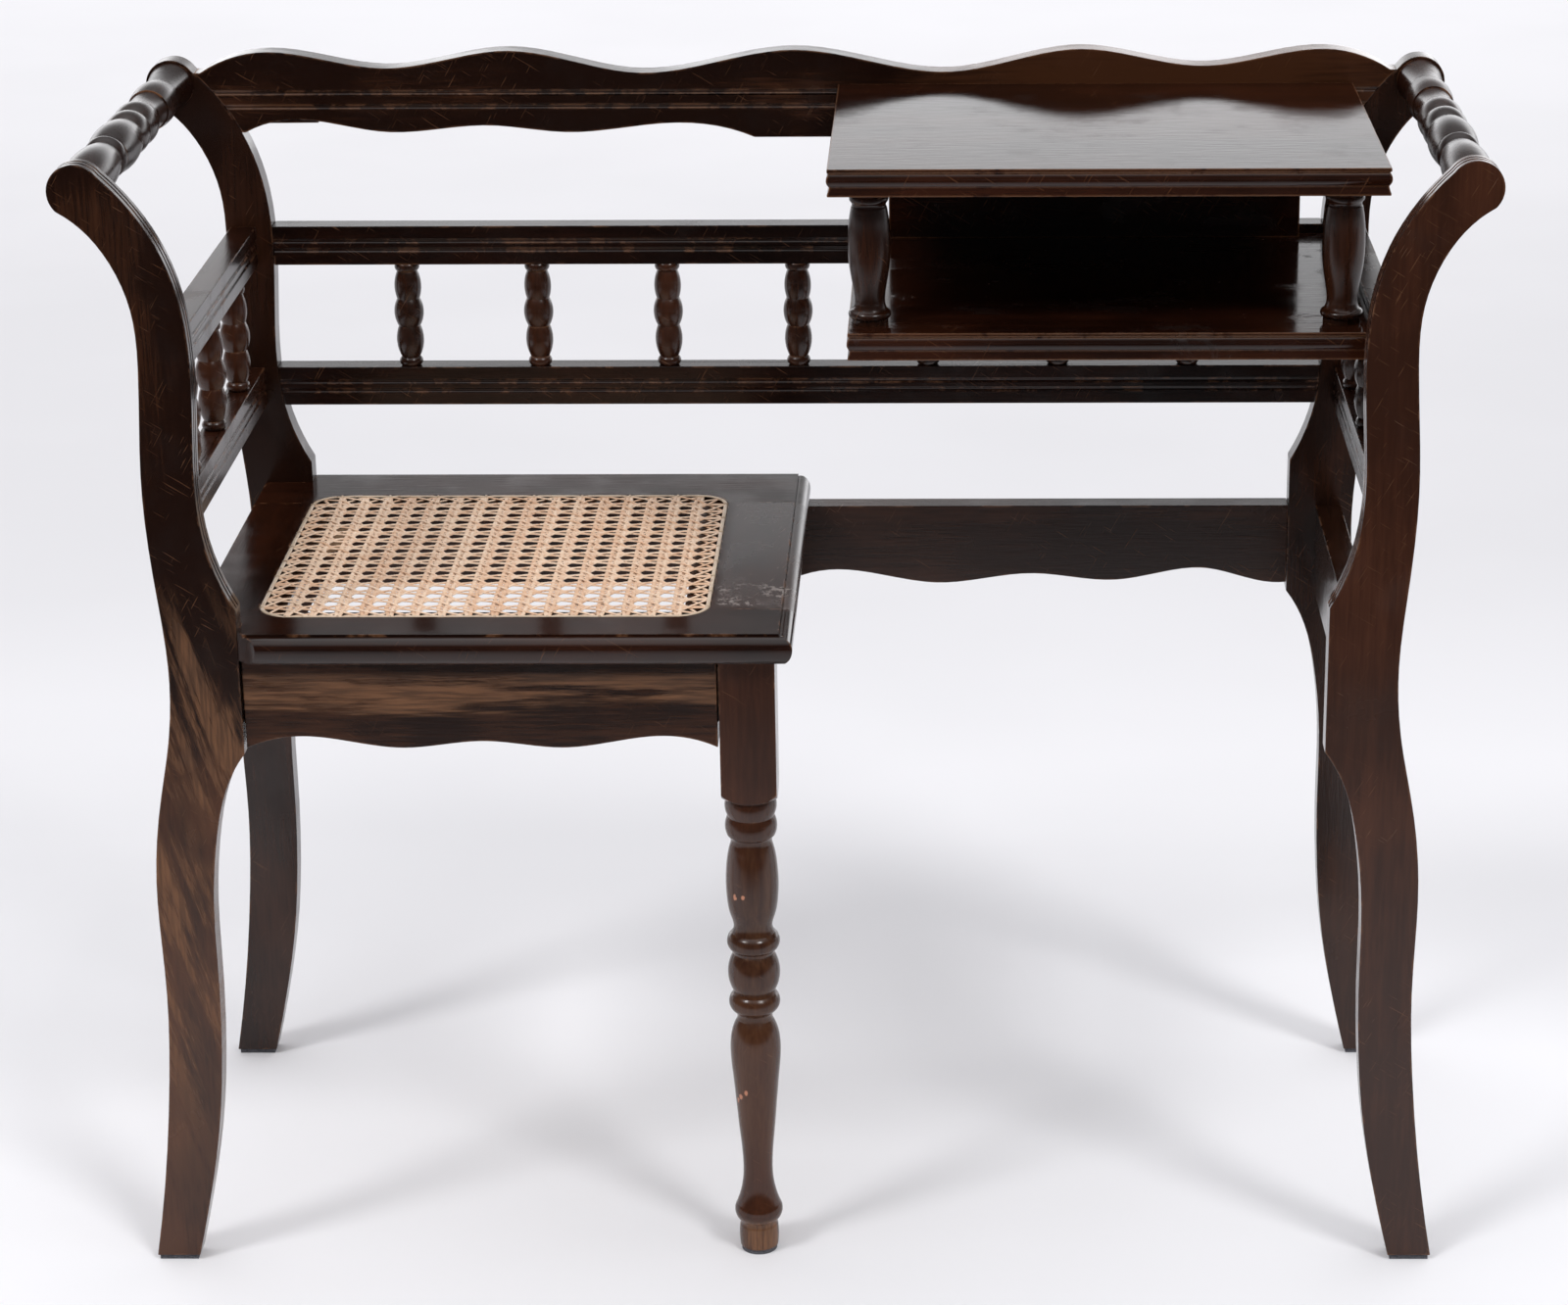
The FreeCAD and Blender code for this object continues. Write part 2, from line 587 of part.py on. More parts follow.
CANE_X = (SEAT_LEFT + CANE_LEFT, SEAT_RIGHT - CANE_RIGHT)
CANE_Y = (FRONT + CANE_FRONT, BACK - CANE_BACK)


def cane_area(inset):
    x = (CANE_X[0] + inset, CANE_X[1] - inset)
    y = (CANE_Y[0] + inset, CANE_Y[1] - inset)
    return rounded_rectangle(x, y, SEAT_HEIGHT - CANE_BED, CANE_CORNER - inset)


def spread(ends, pitch, gap, fewer):
    # Centres of the cane gaps that fit between two sides of the field.
    room = ends[1] - ends[0] - 2 * (BINDER_WIDTH + FIT + CANE_MARGIN)
    count = int((room + pitch - gap) / pitch) - fewer
    middle = (ends[0] + ends[1]) / 2
    return [middle + pitch * (i - (count - 1) / 2) for i in range(count)]


def lattice(fewer):
    return spread(CANE_X, CANE_PITCH_X, CANE_GAP_X, fewer), spread(CANE_Y, CANE_PITCH_Y, CANE_GAP_Y, fewer)


def caning_holes():
    # Drilled through the seat frame under the middle of the binder.
    xs, ys = lattice(1)
    inset = BINDER_WIDTH / 2
    places = [(x, y) for x in xs for y in (CANE_Y[0] + inset, CANE_Y[1] - inset)]
    places += [(x, y) for y in ys for x in (CANE_X[0] + inset, CANE_X[1] - inset)]
    return [Part.makeCylinder(CANING_HOLE_RADIUS, SEAT_THICK, at(x, y, SEAT_UNDER)) for x, y in places]


def make_seat():
    wide = SEAT_WIDTH + ARM_SPAN
    front = nose_profile(lambda p: at(SEAT_LEFT, p[0], p[1]), SEAT_FRONT, BACK, -1)
    right = nose_profile(lambda p: at(p[0], FRONT - SEAT_WIDTH, p[1]), SEAT_RIGHT, SEAT_LEFT, 1)
    blank = prism(front, at(wide, 0, 0)).common(prism(right, at(0, wide, 0)))
    rounding = rounded_rectangle((SEAT_LEFT - SEAT_WIDTH, SEAT_RIGHT + SEAT_NOSE), (FRONT - SEAT_WIDTH, BACK),
                                 SEAT_UNDER, SEAT_CORNER)
    blank = blank.common(rounding.extrude(at(0, 0, SEAT_THICK)))
    notch = -BLOCK_X + FIT
    z = (SEAT_UNDER - 1, SEAT_HEIGHT + 1)
    blank = blank.cut(box((SEAT_LEFT - 1, notch), (FRONT - SEAT_WIDTH, POST_BACK + FIT), z))
    blank = blank.cut(box((SEAT_LEFT - 1, notch), (REAR_FACE - FIT, BACK + 1), z))
    cut = NOSE_END_CUT + 2
    blank = blank.cut(plan_prism([(notch - 1, FRONT), (notch - 1, FRONT - cut), (notch + cut, FRONT - cut),
                                  (notch + FIT, FRONT)], z))
    opening = cane_area(CANE_LEDGE)
    blank = blank.cut(placed(opening.extrude(at(0, 0, SEAT_THICK * 2)), 0, 0, -SEAT_THICK))
    blank = blank.cut(cane_area(-FIT).extrude(at(0, 0, SEAT_THICK)))
    blank = blank.cut(caning_holes())

    joint_front = FRONT + SEAT_FRONT_RAIL
    joint_back = BACK - SEAT_BACK_RAIL
    left_edge = CANE_X[0] + CANE_LEDGE
    right_edge = CANE_X[1] - CANE_LEDGE
    x_all = (SEAT_LEFT - 1, SEAT_RIGHT + SEAT_TIP)
    gap = FIT / 4
    parts["seat_front_rail"] = blank.common(box(x_all, (FRONT - SEAT_WIDTH, joint_front - gap), z))
    parts["seat_back_rail"] = blank.common(box(x_all, (joint_back + gap, BACK + 1), z))
    between = (joint_front + gap, joint_back - gap)
    parts["seat_left_stile"] = blank.common(box((x_all[0], left_edge + 1), between, z))
    parts["seat_right_stile"] = blank.common(box((right_edge - 1, x_all[1]), between, z))
    middle = SEAT_UNDER + SEAT_THICK / 2
    z = (middle - TENON_THICK / 2, middle + TENON_THICK / 2)
    outer = SEAT_LEFT + TENON_SHOULDER
    left_x = (outer, outer + SEAT_TENON_WIDTH)
    outer = SEAT_RIGHT - TENON_SHOULDER
    right_x = (outer - SEAT_TENON_WIDTH, outer)
    for name, x in (("seat_left_stile", left_x), ("seat_right_stile", right_x)):
        house(name, "seat_front_rail", x, (joint_front - SEAT_TENON, joint_front + TENON_SHOULDER), z)
        house(name, "seat_back_rail", x, (joint_back - TENON_SHOULDER, joint_back + SEAT_TENON), z)


def octagon(x, y, z):
    across = CANE_GAP_X / 2
    along = CANE_GAP_Y / 2
    cut = CANE_GAP_CUT
    corners = [(across, along - cut), (across - cut, along), (cut - across, along), (-across, along - cut),
               (-across, cut - along), (cut - across, -along), (across - cut, -along), (across, cut - along)]
    points = [at(x + dx, y + dy, z) for dx, dy in corners]
    return Part.makePolygon(points + points[:1])


def make_cane():
    base = SEAT_HEIGHT - CANE_BED
    inner = cane_area(BINDER_WIDTH + FIT)
    xs, ys = lattice(0)
    gaps = [octagon(x, y, base) for x in xs for y in ys
            if not (x in (xs[0], xs[-1]) and y in (ys[0], ys[-1]))]
    net = Part.makeFace([inner.OuterWire] + gaps, "Part::FaceMakerBullseye")
    parts["cane_panel"] = net.extrude(at(0, 0, CANE_THICK))
    ring = cane_area(0).cut(cane_area(BINDER_WIDTH))
    parts["cane_binder"] = ring.extrude(at(0, 0, CANE_BED + BINDER_PROUD))


# Shelves

def shelf_profile(edge, line_at, inside, low, direction):
    # Outline of a shelf across its moulded edge: a square lip at the top, a
    # bead below a small step, and a flared foot below a groove.
    def point(inwards, share):
        return edge((line_at - direction * inwards, low + share * STOCK))

    lip = [point(SHELF_LIP, 1.0), point(SHELF_LIP, 0.86), point(SHELF_QUIRK, 0.84)]
    bead = [lip[-1], point(0.0, 0.58), point(SHELF_QUIRK, 0.34)]
    flare = [bead[-1], point(SHELF_QUIRK * 0.7, 0.20), point(SHELF_LIP, 0.08)]
    foot = point(SHELF_LIP, 0.0)
    inside_top = edge((inside, low + STOCK))
    inside_low = edge((inside, low))
    return [line(inside_top, lip[0]), line(lip[0], lip[1]), line(lip[1], lip[2]), arc(*bead), arc(*flare),
            line(flare[-1], foot), line(foot, inside_low), line(inside_low, inside_top)]


def make_shelf(name, left, right, depth, low, moulded_right):
    front = REAR_FACE - depth
    length = right - left
    across = shelf_profile(lambda p: at(left - 1, p[0], p[1]), front, REAR_FACE, low, -1)
    board = prism(across, at(length + 2, 0, 0))
    end = shelf_profile(lambda p: at(p[0], front - 1, p[1]), left, left + length / 2, low, -1)
    left_half = board.common(prism(end, at(0, depth + 2, 0)))
    middle = left + length / 2
    if moulded_right:
        end = shelf_profile(lambda p: at(p[0], front - 1, p[1]), right, middle, low, 1)
        right_half = board.common(prism(end, at(0, depth + 2, 0)))
    else:
        right_half = board.common(box((middle, right), (front - 1, REAR_FACE + 1), (low - 1, low + STOCK + 1)))
    parts[name] = left_half.fuse(right_half).removeSplitter()


def make_shelves():
    make_shelf("upper_shelf", UPPER_SHELF_LEFT, UPPER_SHELF_RIGHT, UPPER_SHELF_DEPTH, UPPER_SHELF, True)
    make_shelf("lower_shelf", LOWER_SHELF_LEFT, LOWER_SHELF_RIGHT, LOWER_SHELF_DEPTH, LOWER_SHELF, False)
    floor = LOWER_SHELF + STOCK
    column = turned(COLUMN_START, COLUMN, UPPER_SHELF - floor, COLUMN_TENON_RADIUS, COLUMN_TENON,
                    COLUMN_TENON)
    y = REAR_FACE - LOWER_SHELF_DEPTH + COLUMN_INSET_FRONT
    for name, x in (("shelf_column_left", LOWER_SHELF_LEFT + COLUMN_INSET_LEFT),
                    ("shelf_column_right", LOWER_SHELF_RIGHT - COLUMN_INSET_RIGHT)):
        parts[name] = placed(column, x, y, floor)
        parts["lower_shelf"] = bore(parts["lower_shelf"], x, y, floor, COLUMN_TENON_RADIUS, COLUMN_TENON, DOWN)
        parts["upper_shelf"] = bore(parts["upper_shelf"], x, y, UPPER_SHELF, COLUMN_TENON_RADIUS,
                                    COLUMN_TENON, UP)
    x = (LOWER_SHELF_LEFT + COLUMN_INSET_LEFT + BACK_BOARD_INSET,
         LOWER_SHELF_RIGHT - COLUMN_INSET_RIGHT - BACK_BOARD_INSET)
    parts["shelf_back_board"] = box(x, (REAR_FACE - BACK_BOARD_THICK, REAR_FACE), (floor, UPPER_SHELF))


# Corner blocks, screws and felt pads

def screw(length):
    # Stands head down on Z = 0, with a countersunk head.
    edges = [line(at(0, 0, 0), at(SCREW_HEAD_RADIUS, 0, 0)),
             line(at(SCREW_HEAD_RADIUS, 0, 0), at(SCREW_RADIUS, 0, SCREW_HEAD)),
             line(at(SCREW_RADIUS, 0, SCREW_HEAD), at(SCREW_RADIUS, 0, length - SCREW_HEAD)),
             line(at(SCREW_RADIUS, 0, length - SCREW_HEAD), at(0, 0, length)),
             line(at(0, 0, length), at(0, 0, 0))]
    return Part.Face(Part.Wire(edges)).revolve(at(0, 0, 0), UP, 360)


def screw_hole(length):
    # The screw's own shape, grown by the fit, with the sink below its head.
    head = SCREW_HEAD_RADIUS + FIT / 2
    shank = SCREW_RADIUS + FIT / 2
    edges = [line(at(0, 0, -SCREW_SINK * 2), at(head, 0, -SCREW_SINK * 2)),
             line(at(head, 0, -SCREW_SINK * 2), at(head, 0, 0)),
             line(at(head, 0, 0), at(shank, 0, SCREW_HEAD)),
             line(at(shank, 0, SCREW_HEAD), at(shank, 0, length + FIT)),
             line(at(shank, 0, length + FIT), at(0, 0, length + FIT)),
             line(at(0, 0, length + FIT), at(0, 0, -SCREW_SINK * 2))]
    return Part.Face(Part.Wire(edges)).revolve(at(0, 0, 0), UP, 360)


def drive(name, length, place, pieces, turn):
    parts[name] = placed(turn(screw(length)), *place)
    hole = placed(turn(screw_hole(length)), *place)
    for piece in pieces:
        parts[piece] = parts[piece].cut(hole)


def upright(shape):
    return shape


def laid_forwards(shape):
    turned_shape = shape.copy()
    turned_shape.rotate(at(0, 0, 0), at(1, 0, 0), 90)
    return turned_shape


def make_corner_blocks():
    z = (SEAT_UNDER - CORNER_BLOCK_HEIGHT, SEAT_UNDER)
    apron_back = FRONT + FRONT_APRON_RECESS + STOCK
    apron_inside = STOCK / 2 - APRON_X
    leg_apron = LEG_X - STOCK / 2
    leg_left = LEG_X - LEG_SQUARE / 2 - FIT
    leg_back = LEG_Y + LEG_SQUARE / 2 + FIT
    size = CORNER_BLOCK
    corners = {
        "corner_block_front_left": [(apron_inside, apron_back), (apron_inside + size, apron_back),
                                    (apron_inside, apron_back + size)],
        "corner_block_rear_left": [(apron_inside, REAR_FACE), (apron_inside + size, REAR_FACE),
                                   (apron_inside, REAR_FACE - size)],
        "corner_block_front_right": [(leg_left, apron_back), (leg_left - size, apron_back),
                                     (leg_apron, leg_back + size), (leg_apron, leg_back),
                                     (leg_left, leg_back)],
        "corner_block_rear_right": [(leg_apron, REAR_FACE), (leg_apron - size, REAR_FACE),
                                    (leg_apron, REAR_FACE - size)]}
    inset = BLOCK_SCREW_INSET
    screws = {"corner_block_front_left": (apron_inside + inset, apron_back + inset),
              "corner_block_rear_left": (apron_inside + inset, REAR_FACE - inset),
              "corner_block_front_right": (leg_left - inset / 4, leg_back + inset),
              "corner_block_rear_right": (leg_apron - inset, REAR_FACE - inset)}
    seat = {"corner_block_front_left": ("seat_front_rail", "seat_left_stile"),
            "corner_block_rear_left": ("seat_back_rail",),
            "corner_block_front_right": ("seat_right_stile",),
            "corner_block_rear_right": ("seat_back_rail",)}
    length = CORNER_BLOCK_HEIGHT - SCREW_SINK + SCREW_BITE
    for number, (name, plan) in enumerate(corners.items(), start=1):
        parts[name] = plan_prism(plan, z)
        x, y = screws[name]
        drive(f"seat_screw_{number}", length, (x, y, z[0] + SCREW_SINK), (name,) + seat[name], upright)


def make_shelf_screws():
    middle = (UPPER_SHELF_LEFT + UPPER_SHELF_RIGHT) / 2
    length = STOCK - SCREW_SINK + SHELF_SCREW_BITE
    number = 1
    for shelf, rail, low in (("upper_shelf", "crest_rail", UPPER_SHELF),
                             ("lower_shelf", "mid_back_rail", LOWER_SHELF)):
        for side in (-1, 1):
            place = (middle + side * SHELF_SCREW_SPREAD / 2, BACK - SCREW_SINK, low + STOCK / 2)
            drive(f"shelf_screw_{number}", length, place, [shelf, rail], laid_forwards)
            number += 1


def make_pads():
    middle = ARM_X - (FOOT_OUTER + FOOT_INNER) / 2
    for name, side, face in (("foot_pad_front_left", -1, FRONT), ("foot_pad_front_right", 1, FRONT),
                             ("foot_pad_rear_left", -1, REAR_FACE), ("foot_pad_rear_right", 1, REAR_FACE)):
        x = side * middle
        y = face + STOCK / 2
        parts[name] = box((x - PAD_LENGTH / 2, x + PAD_LENGTH / 2), (y - PAD_WIDTH / 2, y + PAD_WIDTH / 2),
                          (0, PAD_THICK))
    parts["foot_pad_turned_leg"] = Part.makeCylinder(LEG_PAD_RADIUS, PAD_THICK, at(LEG_X, LEG_Y, 0))


make_posts()
make_crest_rail()
crest_tenon = ARM_HEIGHT - CREST_TENON_DROP
join_back_rail("crest_rail", crest_tenon, crest_tenon + CREST_TENON_HEIGHT)
for rail_name, rail_bottom in (("lower_back_rail", LOWER_RAIL), ("mid_back_rail", MID_RAIL)):
    make_back_rail(rail_name, rail_bottom)
    join_back_rail(rail_name, rail_bottom + TENON_SHOULDER, rail_bottom + RAIL_HEIGHT - TENON_SHOULDER)
back_spindle_line = REAR_FACE + STOCK / 2 - BACK_SPINDLE_FORWARD
back_places = [(SPINDLE_PITCH * (i - (BACK_SPINDLES - 1) / 2), back_spindle_line)
               for i in range(BACK_SPINDLES)]
make_spindles("back_spindle", back_places, "lower_back_rail", "mid_back_rail")
for hand, label in ((-1, "left"), (1, "right")):
    posts = (f"front_{label}_post", f"rear_{label}_post")
    make_side_rail(hand, f"{label}_lower_side_rail", LOWER_RAIL, *posts)
    make_side_rail(hand, f"{label}_upper_side_rail", MID_RAIL, *posts)
    side_middle = (POST_BACK + REAR_FACE) / 2
    side_places = [(hand * SIDE_RAIL_X, side_middle + SIDE_SPINDLE_PITCH * (i - (SIDE_SPINDLES - 1) / 2))
                   for i in range(SIDE_SPINDLES)]
    make_spindles(f"{label}_spindle", side_places, f"{label}_lower_side_rail", f"{label}_upper_side_rail")
    make_arm(hand, f"{label}_arm_rail", *posts)
make_turned_leg()
make_aprons()
make_seat()
make_cane()
make_shelves()
make_corner_blocks()
make_shelf_screws()
make_pads()

os.makedirs("parts", exist_ok=True)
for part_name, shape in parts.items():
    solids = shape.Solids
    whole = Part.Compound(solids) if len(solids) > 1 else solids[0]
    print(f"{part_name}: {len(solids)} solid, valid {whole.isValid()}, {whole.Volume / 1000:.1f} cm3")
    whole.exportStep(f"parts/{part_name}.step")
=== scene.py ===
# %% [markdown]
# # A telephone bench in dark polished wood
# The bench is one long frame of four scrolled posts, with a caned seat on the left and a
# small two-tier shelf for the telephone and its directories on the right.
# The wooden parts arrive as finished solids, already at their real size. What is left to do
# here is what a finisher and a caner would do: stain, polish and wear the wood, and weave the
# cane by hand over the seat frame. Everything is in metres, with Z up.

# %% Load the finished woodwork
import math
import random

import bpy
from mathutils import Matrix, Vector


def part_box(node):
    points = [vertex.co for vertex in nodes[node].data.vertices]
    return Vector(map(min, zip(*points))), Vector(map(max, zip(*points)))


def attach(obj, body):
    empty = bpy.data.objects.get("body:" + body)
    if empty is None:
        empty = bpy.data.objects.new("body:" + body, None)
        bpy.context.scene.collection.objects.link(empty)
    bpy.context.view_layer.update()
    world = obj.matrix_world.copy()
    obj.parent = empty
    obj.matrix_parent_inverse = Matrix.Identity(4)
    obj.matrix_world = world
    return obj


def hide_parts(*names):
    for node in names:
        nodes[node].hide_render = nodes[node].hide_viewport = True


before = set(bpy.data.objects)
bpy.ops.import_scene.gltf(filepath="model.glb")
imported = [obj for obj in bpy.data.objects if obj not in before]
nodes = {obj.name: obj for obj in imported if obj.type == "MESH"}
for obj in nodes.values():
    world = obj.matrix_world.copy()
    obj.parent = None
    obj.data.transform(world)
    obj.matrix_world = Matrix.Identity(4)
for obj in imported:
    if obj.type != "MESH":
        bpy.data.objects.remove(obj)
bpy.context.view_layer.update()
MM = 0.001

# %% [markdown]
# ## The camera
# The bench was photographed from a little above the crest rail with a long lens, about two and
# a half metres in front. A long lens keeps the posts nearly parallel. The lens is 90 mm on a
# 36 mm sensor, and the small sideways shift only repeats how the picture was cropped.

# %% Place the camera
CAMERA_PLACE = (0.1127, -2.5562, 1.3083)
CAMERA_TURN = (70.068, 0.310, 0.593)
LENS = 90.72
SIDEWAYS_CROP = -0.08125

camera_data = bpy.data.cameras.new("bench_camera")
camera_data.lens = LENS
camera_data.sensor_width = 36
camera_data.shift_x = SIDEWAYS_CROP
camera = bpy.data.objects.new("bench_camera", camera_data)
camera.location = CAMERA_PLACE
camera.rotation_euler = [math.radians(angle) for angle in CAMERA_TURN]
bpy.context.scene.collection.objects.link(camera)
bpy.context.scene.camera = camera
bpy.context.scene.view_settings.view_transform = "Standard"
print(f"camera {CAMERA_PLACE[2]:.2f} m up, looking down {90 - CAMERA_TURN[0]:.0f} degrees")

# %% [markdown]
# ## Writing shaders as sums
# A material is a network of small nodes, and a network of Math nodes is hard to read. So one
# small class stands for the wire that leaves a node. Adding or multiplying two wires adds the
# Math node that does it, and `node` adds any other kind. A recipe then reads like arithmetic:
# `1 - worn * 0.5`.

# %% A wire that can do arithmetic
class Wire:
    """The output of a shader node. Sums on it add Math nodes to the same material."""

    def __init__(self, tree, socket=None):
        self.tree = tree
        self.socket = socket

    def node(self, kind, settings=None, sockets=None, output=0):
        """Add one node: its type, its settings, then the value or wire of each socket."""
        made = self.tree.nodes.new("ShaderNode" + kind)
        for name, value in (settings or {}).items():
            if name == "stops":
                set_stops(made.color_ramp, value)
            else:
                setattr(made, name, value)
        for name, value in (sockets or {}).items():
            if isinstance(value, Wire):
                self.tree.links.new(value.socket, made.inputs[name])
            else:
                made.inputs[name].default_value = value
        return Wire(self.tree, made.outputs[output])

    def sum(self, operation, *values, clamp=False):
        sockets = dict(enumerate(values))
        return self.node("Math", {"operation": operation, "use_clamp": clamp}, sockets)

    def __add__(self, other):
        return self.sum("ADD", self, other)

    def __sub__(self, other):
        return self.sum("SUBTRACT", self, other)

    def __rsub__(self, other):
        return self.sum("SUBTRACT", other, self)

    def __mul__(self, other):
        return self.sum("MULTIPLY", self, other)

    def __truediv__(self, other):
        return self.sum("DIVIDE", self, other)

    __radd__ = __add__
    __rmul__ = __mul__

    def vector(self, operation, other, output=0):
        """Vector Math with another vector: a wire or a plain (x, y, z)."""
        return self.node("VectorMath", {"operation": operation}, {0: self, 1: other}, output)

    def axis(self, number):
        """One of the three parts of a vector."""
        return self.node("SeparateXYZ", {}, {"Vector": self}, number)

    def ramp(self, low, high):
        """0 below low and 1 above high, with a soft shoulder. A low above high turns it round."""
        settings = {"interpolation_type": "SMOOTHSTEP"}
        if low > high:
            return 1 - self.ramp(high, low)
        return self.node("MapRange", settings, {"Value": self, "From Min": low, "From Max": high})


def set_stops(colour_ramp, stops):
    while len(colour_ramp.elements) < len(stops):
        colour_ramp.elements.new(1.0)
    for element, (position, colour) in zip(colour_ramp.elements, stops):
        element.position = position
        element.color = (*colour, 1.0)


def blend_colours(factor, first, second):
    """Mix two colours, each a wire or a plain (red, green, blue)."""
    pair = [c if isinstance(c, Wire) else (*c, 1.0) for c in (first, second)]
    return factor.node("Mix", {"data_type": "RGBA"}, {0: factor, 6: pair[0], 7: pair[1]}, output=2)


def start_material(name):
    """An empty material, its first wire, and a function that ends it in a surface shader."""
    material = bpy.data.materials.new(name)
    material.use_nodes = True
    tree = material.node_tree
    tree.nodes.clear()
    return material, Wire(tree)


def end_material(wire, shader):
    output = wire.tree.nodes.new("ShaderNodeOutputMaterial")
    wire.tree.links.new(shader.socket, output.inputs["Surface"])


print("shader arithmetic ready")

# %% [markdown]
# ## The studio
# The bench stands on pale floor paper that runs off in every direction. Dark polish is judged
# by what it mirrors, so the lights matter more than the paint. Three things shape it here:
# a bright band of backdrop behind the bench, which the shelf top mirrors as pale grey; two soft
# round lamps in front, which put two small highlights on each turned bead; and a black card on
# the floor in front, unseen by the camera, which keeps the fronts of the posts deep brown.

# %% Floor paper, with painted shade behind the bench
FLOOR_REACH = 20.0


def sheet_mesh(name, corners):
    mesh = bpy.data.meshes.new(name)
    mesh.from_pydata(corners, [], [(0, 1, 2, 3)])
    piece = bpy.data.objects.new(name, mesh)
    bpy.context.scene.collection.objects.link(piece)
    return piece


reach = FLOOR_REACH
floor = sheet_mesh("floor_paper", [(-reach, -reach, 0), (reach, -reach, 0), (reach, reach, 0), (-reach, reach, 0)])
material, wire = start_material("floor_paper")
place = wire.node("TexCoord", output=3)
smudge = wire.node("TexNoise", {}, {"Vector": place, "Scale": 1.6, "Detail": 3.0})
sideways = place.axis(0).sum("ABSOLUTE", place.axis(0))
back = place.axis(1)
# Painted shade: the paper's colour is made darker behind the bench, where its shadow falls. It is lighter again
# further back, and a little darker far out to the sides. The smudges are marks on the paper itself.
painted_floor_shade = back.ramp(0.0, 1.4) * 0.85 - back.ramp(2.0, 4.6) * 0.45 - sideways.ramp(-0.2, 1.4) * -0.10
paper = blend_colours(painted_floor_shade + smudge.ramp(0.35, 0.7) * 0.10, (0.93, 0.925, 0.95), (0.69, 0.685, 0.705))
shader = wire.node("BsdfPrincipled", {}, {"Base Color": paper, "Roughness": 0.9, "Specular IOR Level": 0.0})
end_material(wire, shader)
floor.data.materials.append(material)
print(f"floor paper {2 * reach:.0f} m across")

# %% Black card in front, seen only in reflections
CARD_NEAR = -0.32
CARD_FAR = -14.0
CARD_BLACK_FROM = -1.6
CARD_HALF_WIDTH = 7.0
CARD_LIFT = 0.002

card = sheet_mesh(
    "black_card",
    [(-CARD_HALF_WIDTH, CARD_FAR, CARD_LIFT), (CARD_HALF_WIDTH, CARD_FAR, CARD_LIFT),
     (CARD_HALF_WIDTH, CARD_NEAR, CARD_LIFT), (-CARD_HALF_WIDTH, CARD_NEAR, CARD_LIFT)],
)
card.visible_camera = False
card.visible_diffuse = False
card.visible_shadow = False
material, wire = start_material("black_card")
place = wire.node("TexCoord", output=3)
depth = wire.node("SeparateXYZ", {}, {"Vector": place}, output=1)
clear = wire.node("BsdfTransparent")
black = wire.node("BsdfDiffuse", {}, {"Color": (0.02, 0.02, 0.02, 1)})
shader = wire.node("MixShader", {}, {0: depth.ramp(CARD_NEAR, CARD_BLACK_FROM), 1: clear, 2: black})
end_material(wire, shader)
card.data.materials.append(material)
print("black card laid in front")

# %% Backdrop light and two lamps
FRONT_GLOW = 0.07
BACK_GLOW = 0.19
TOP_GLOW = 1.2
BAND_GLOW = 1.5
SKYLINE_GLOW = 0.8
BACKDROP_SEEN = 0.86
LAMP_SPREAD = 14.0
LAMPS = {"left_lamp": (-50.0, 48.0, 0.80), "right_lamp": (40.0, 46.0, 0.88)}

world = bpy.data.worlds.new("studio")
world.use_nodes = True
bpy.context.scene.world = world
world.node_tree.nodes.clear()
wire = Wire(world.node_tree)
heading = wire.node("TexCoord", output=0)
away = heading.axis(1)
height = heading.axis(2)
band = height.ramp(0.335, 0.15) * away.ramp(0.3, 0.8)
skyline = height.ramp(0.215, 0.12) * away.ramp(0.3, 0.8)
glow = FRONT_GLOW + away.ramp(-0.6, 0.5) * BACK_GLOW + height.ramp(0.45, 0.95) * TOP_GLOW
glow = glow + band * BAND_GLOW + skyline * SKYLINE_GLOW
lighting = wire.node("Background", {}, {"Color": (0.98, 0.98, 1.0, 1), "Strength": glow})
seen = wire.node("Background", {}, {"Color": (0.985, 0.98, 1.0, 1), "Strength": BACKDROP_SEEN})
to_camera = wire.node("LightPath", output=0)
shader = wire.node("MixShader", {}, {0: to_camera, 1: lighting, 2: seen})
output = world.node_tree.nodes.new("ShaderNodeOutputWorld")
world.node_tree.links.new(shader.socket, output.inputs["Surface"])

for name, (side, up, strength) in LAMPS.items():
    light = bpy.data.lights.new(name, "SUN")
    light.energy = strength
    light.angle = math.radians(LAMP_SPREAD)
    lamp = bpy.data.objects.new(name, light)
    lamp.rotation_euler = (math.radians(90 - up), 0, math.radians(side))
    bpy.context.scene.collection.objects.link(lamp)
print(f"{len(LAMPS)} lamps and a glowing backdrop")

# %% [markdown]
# ## Dark polished wood
# The whole bench was stained nearly black-brown and shellacked, and years of use have rubbed it.
# Four things show: a slow cloudiness where red-brown wood glows through the stain, fine streaks
# along the grain, paler brown on the arrises where hands and feet have worn the colour off, and
# a scatter of short scratches. A picture of wood would stretch on curved posts, so the finish is
# worked out from the place of each point, which never stretches. The grain runs along whichever
# axis the piece was cut along.

# %% The wood finish
GRAIN_STRETCH = {
    "X": (0.07, 1.0, 1.0),
    "Y": (1.0, 0.07, 1.0),
    "Z": (1.0, 1.0, 0.07),
}
RUBBED_ARRIS = (0.20, 0.085, 0.036)
BARE_WOOD = (0.200, 0.086, 0.035)
FLAKED = (0.34, 0.29, 0.265)
CHIPPED = (0.50, 0.21, 0.12)
SHINE = 0.42


def noise(place, scale, detail=2.0, rough=0.5):
    return place.node("TexNoise", {}, {"Vector": place, "Scale": scale, "Detail": detail, "Roughness": rough})


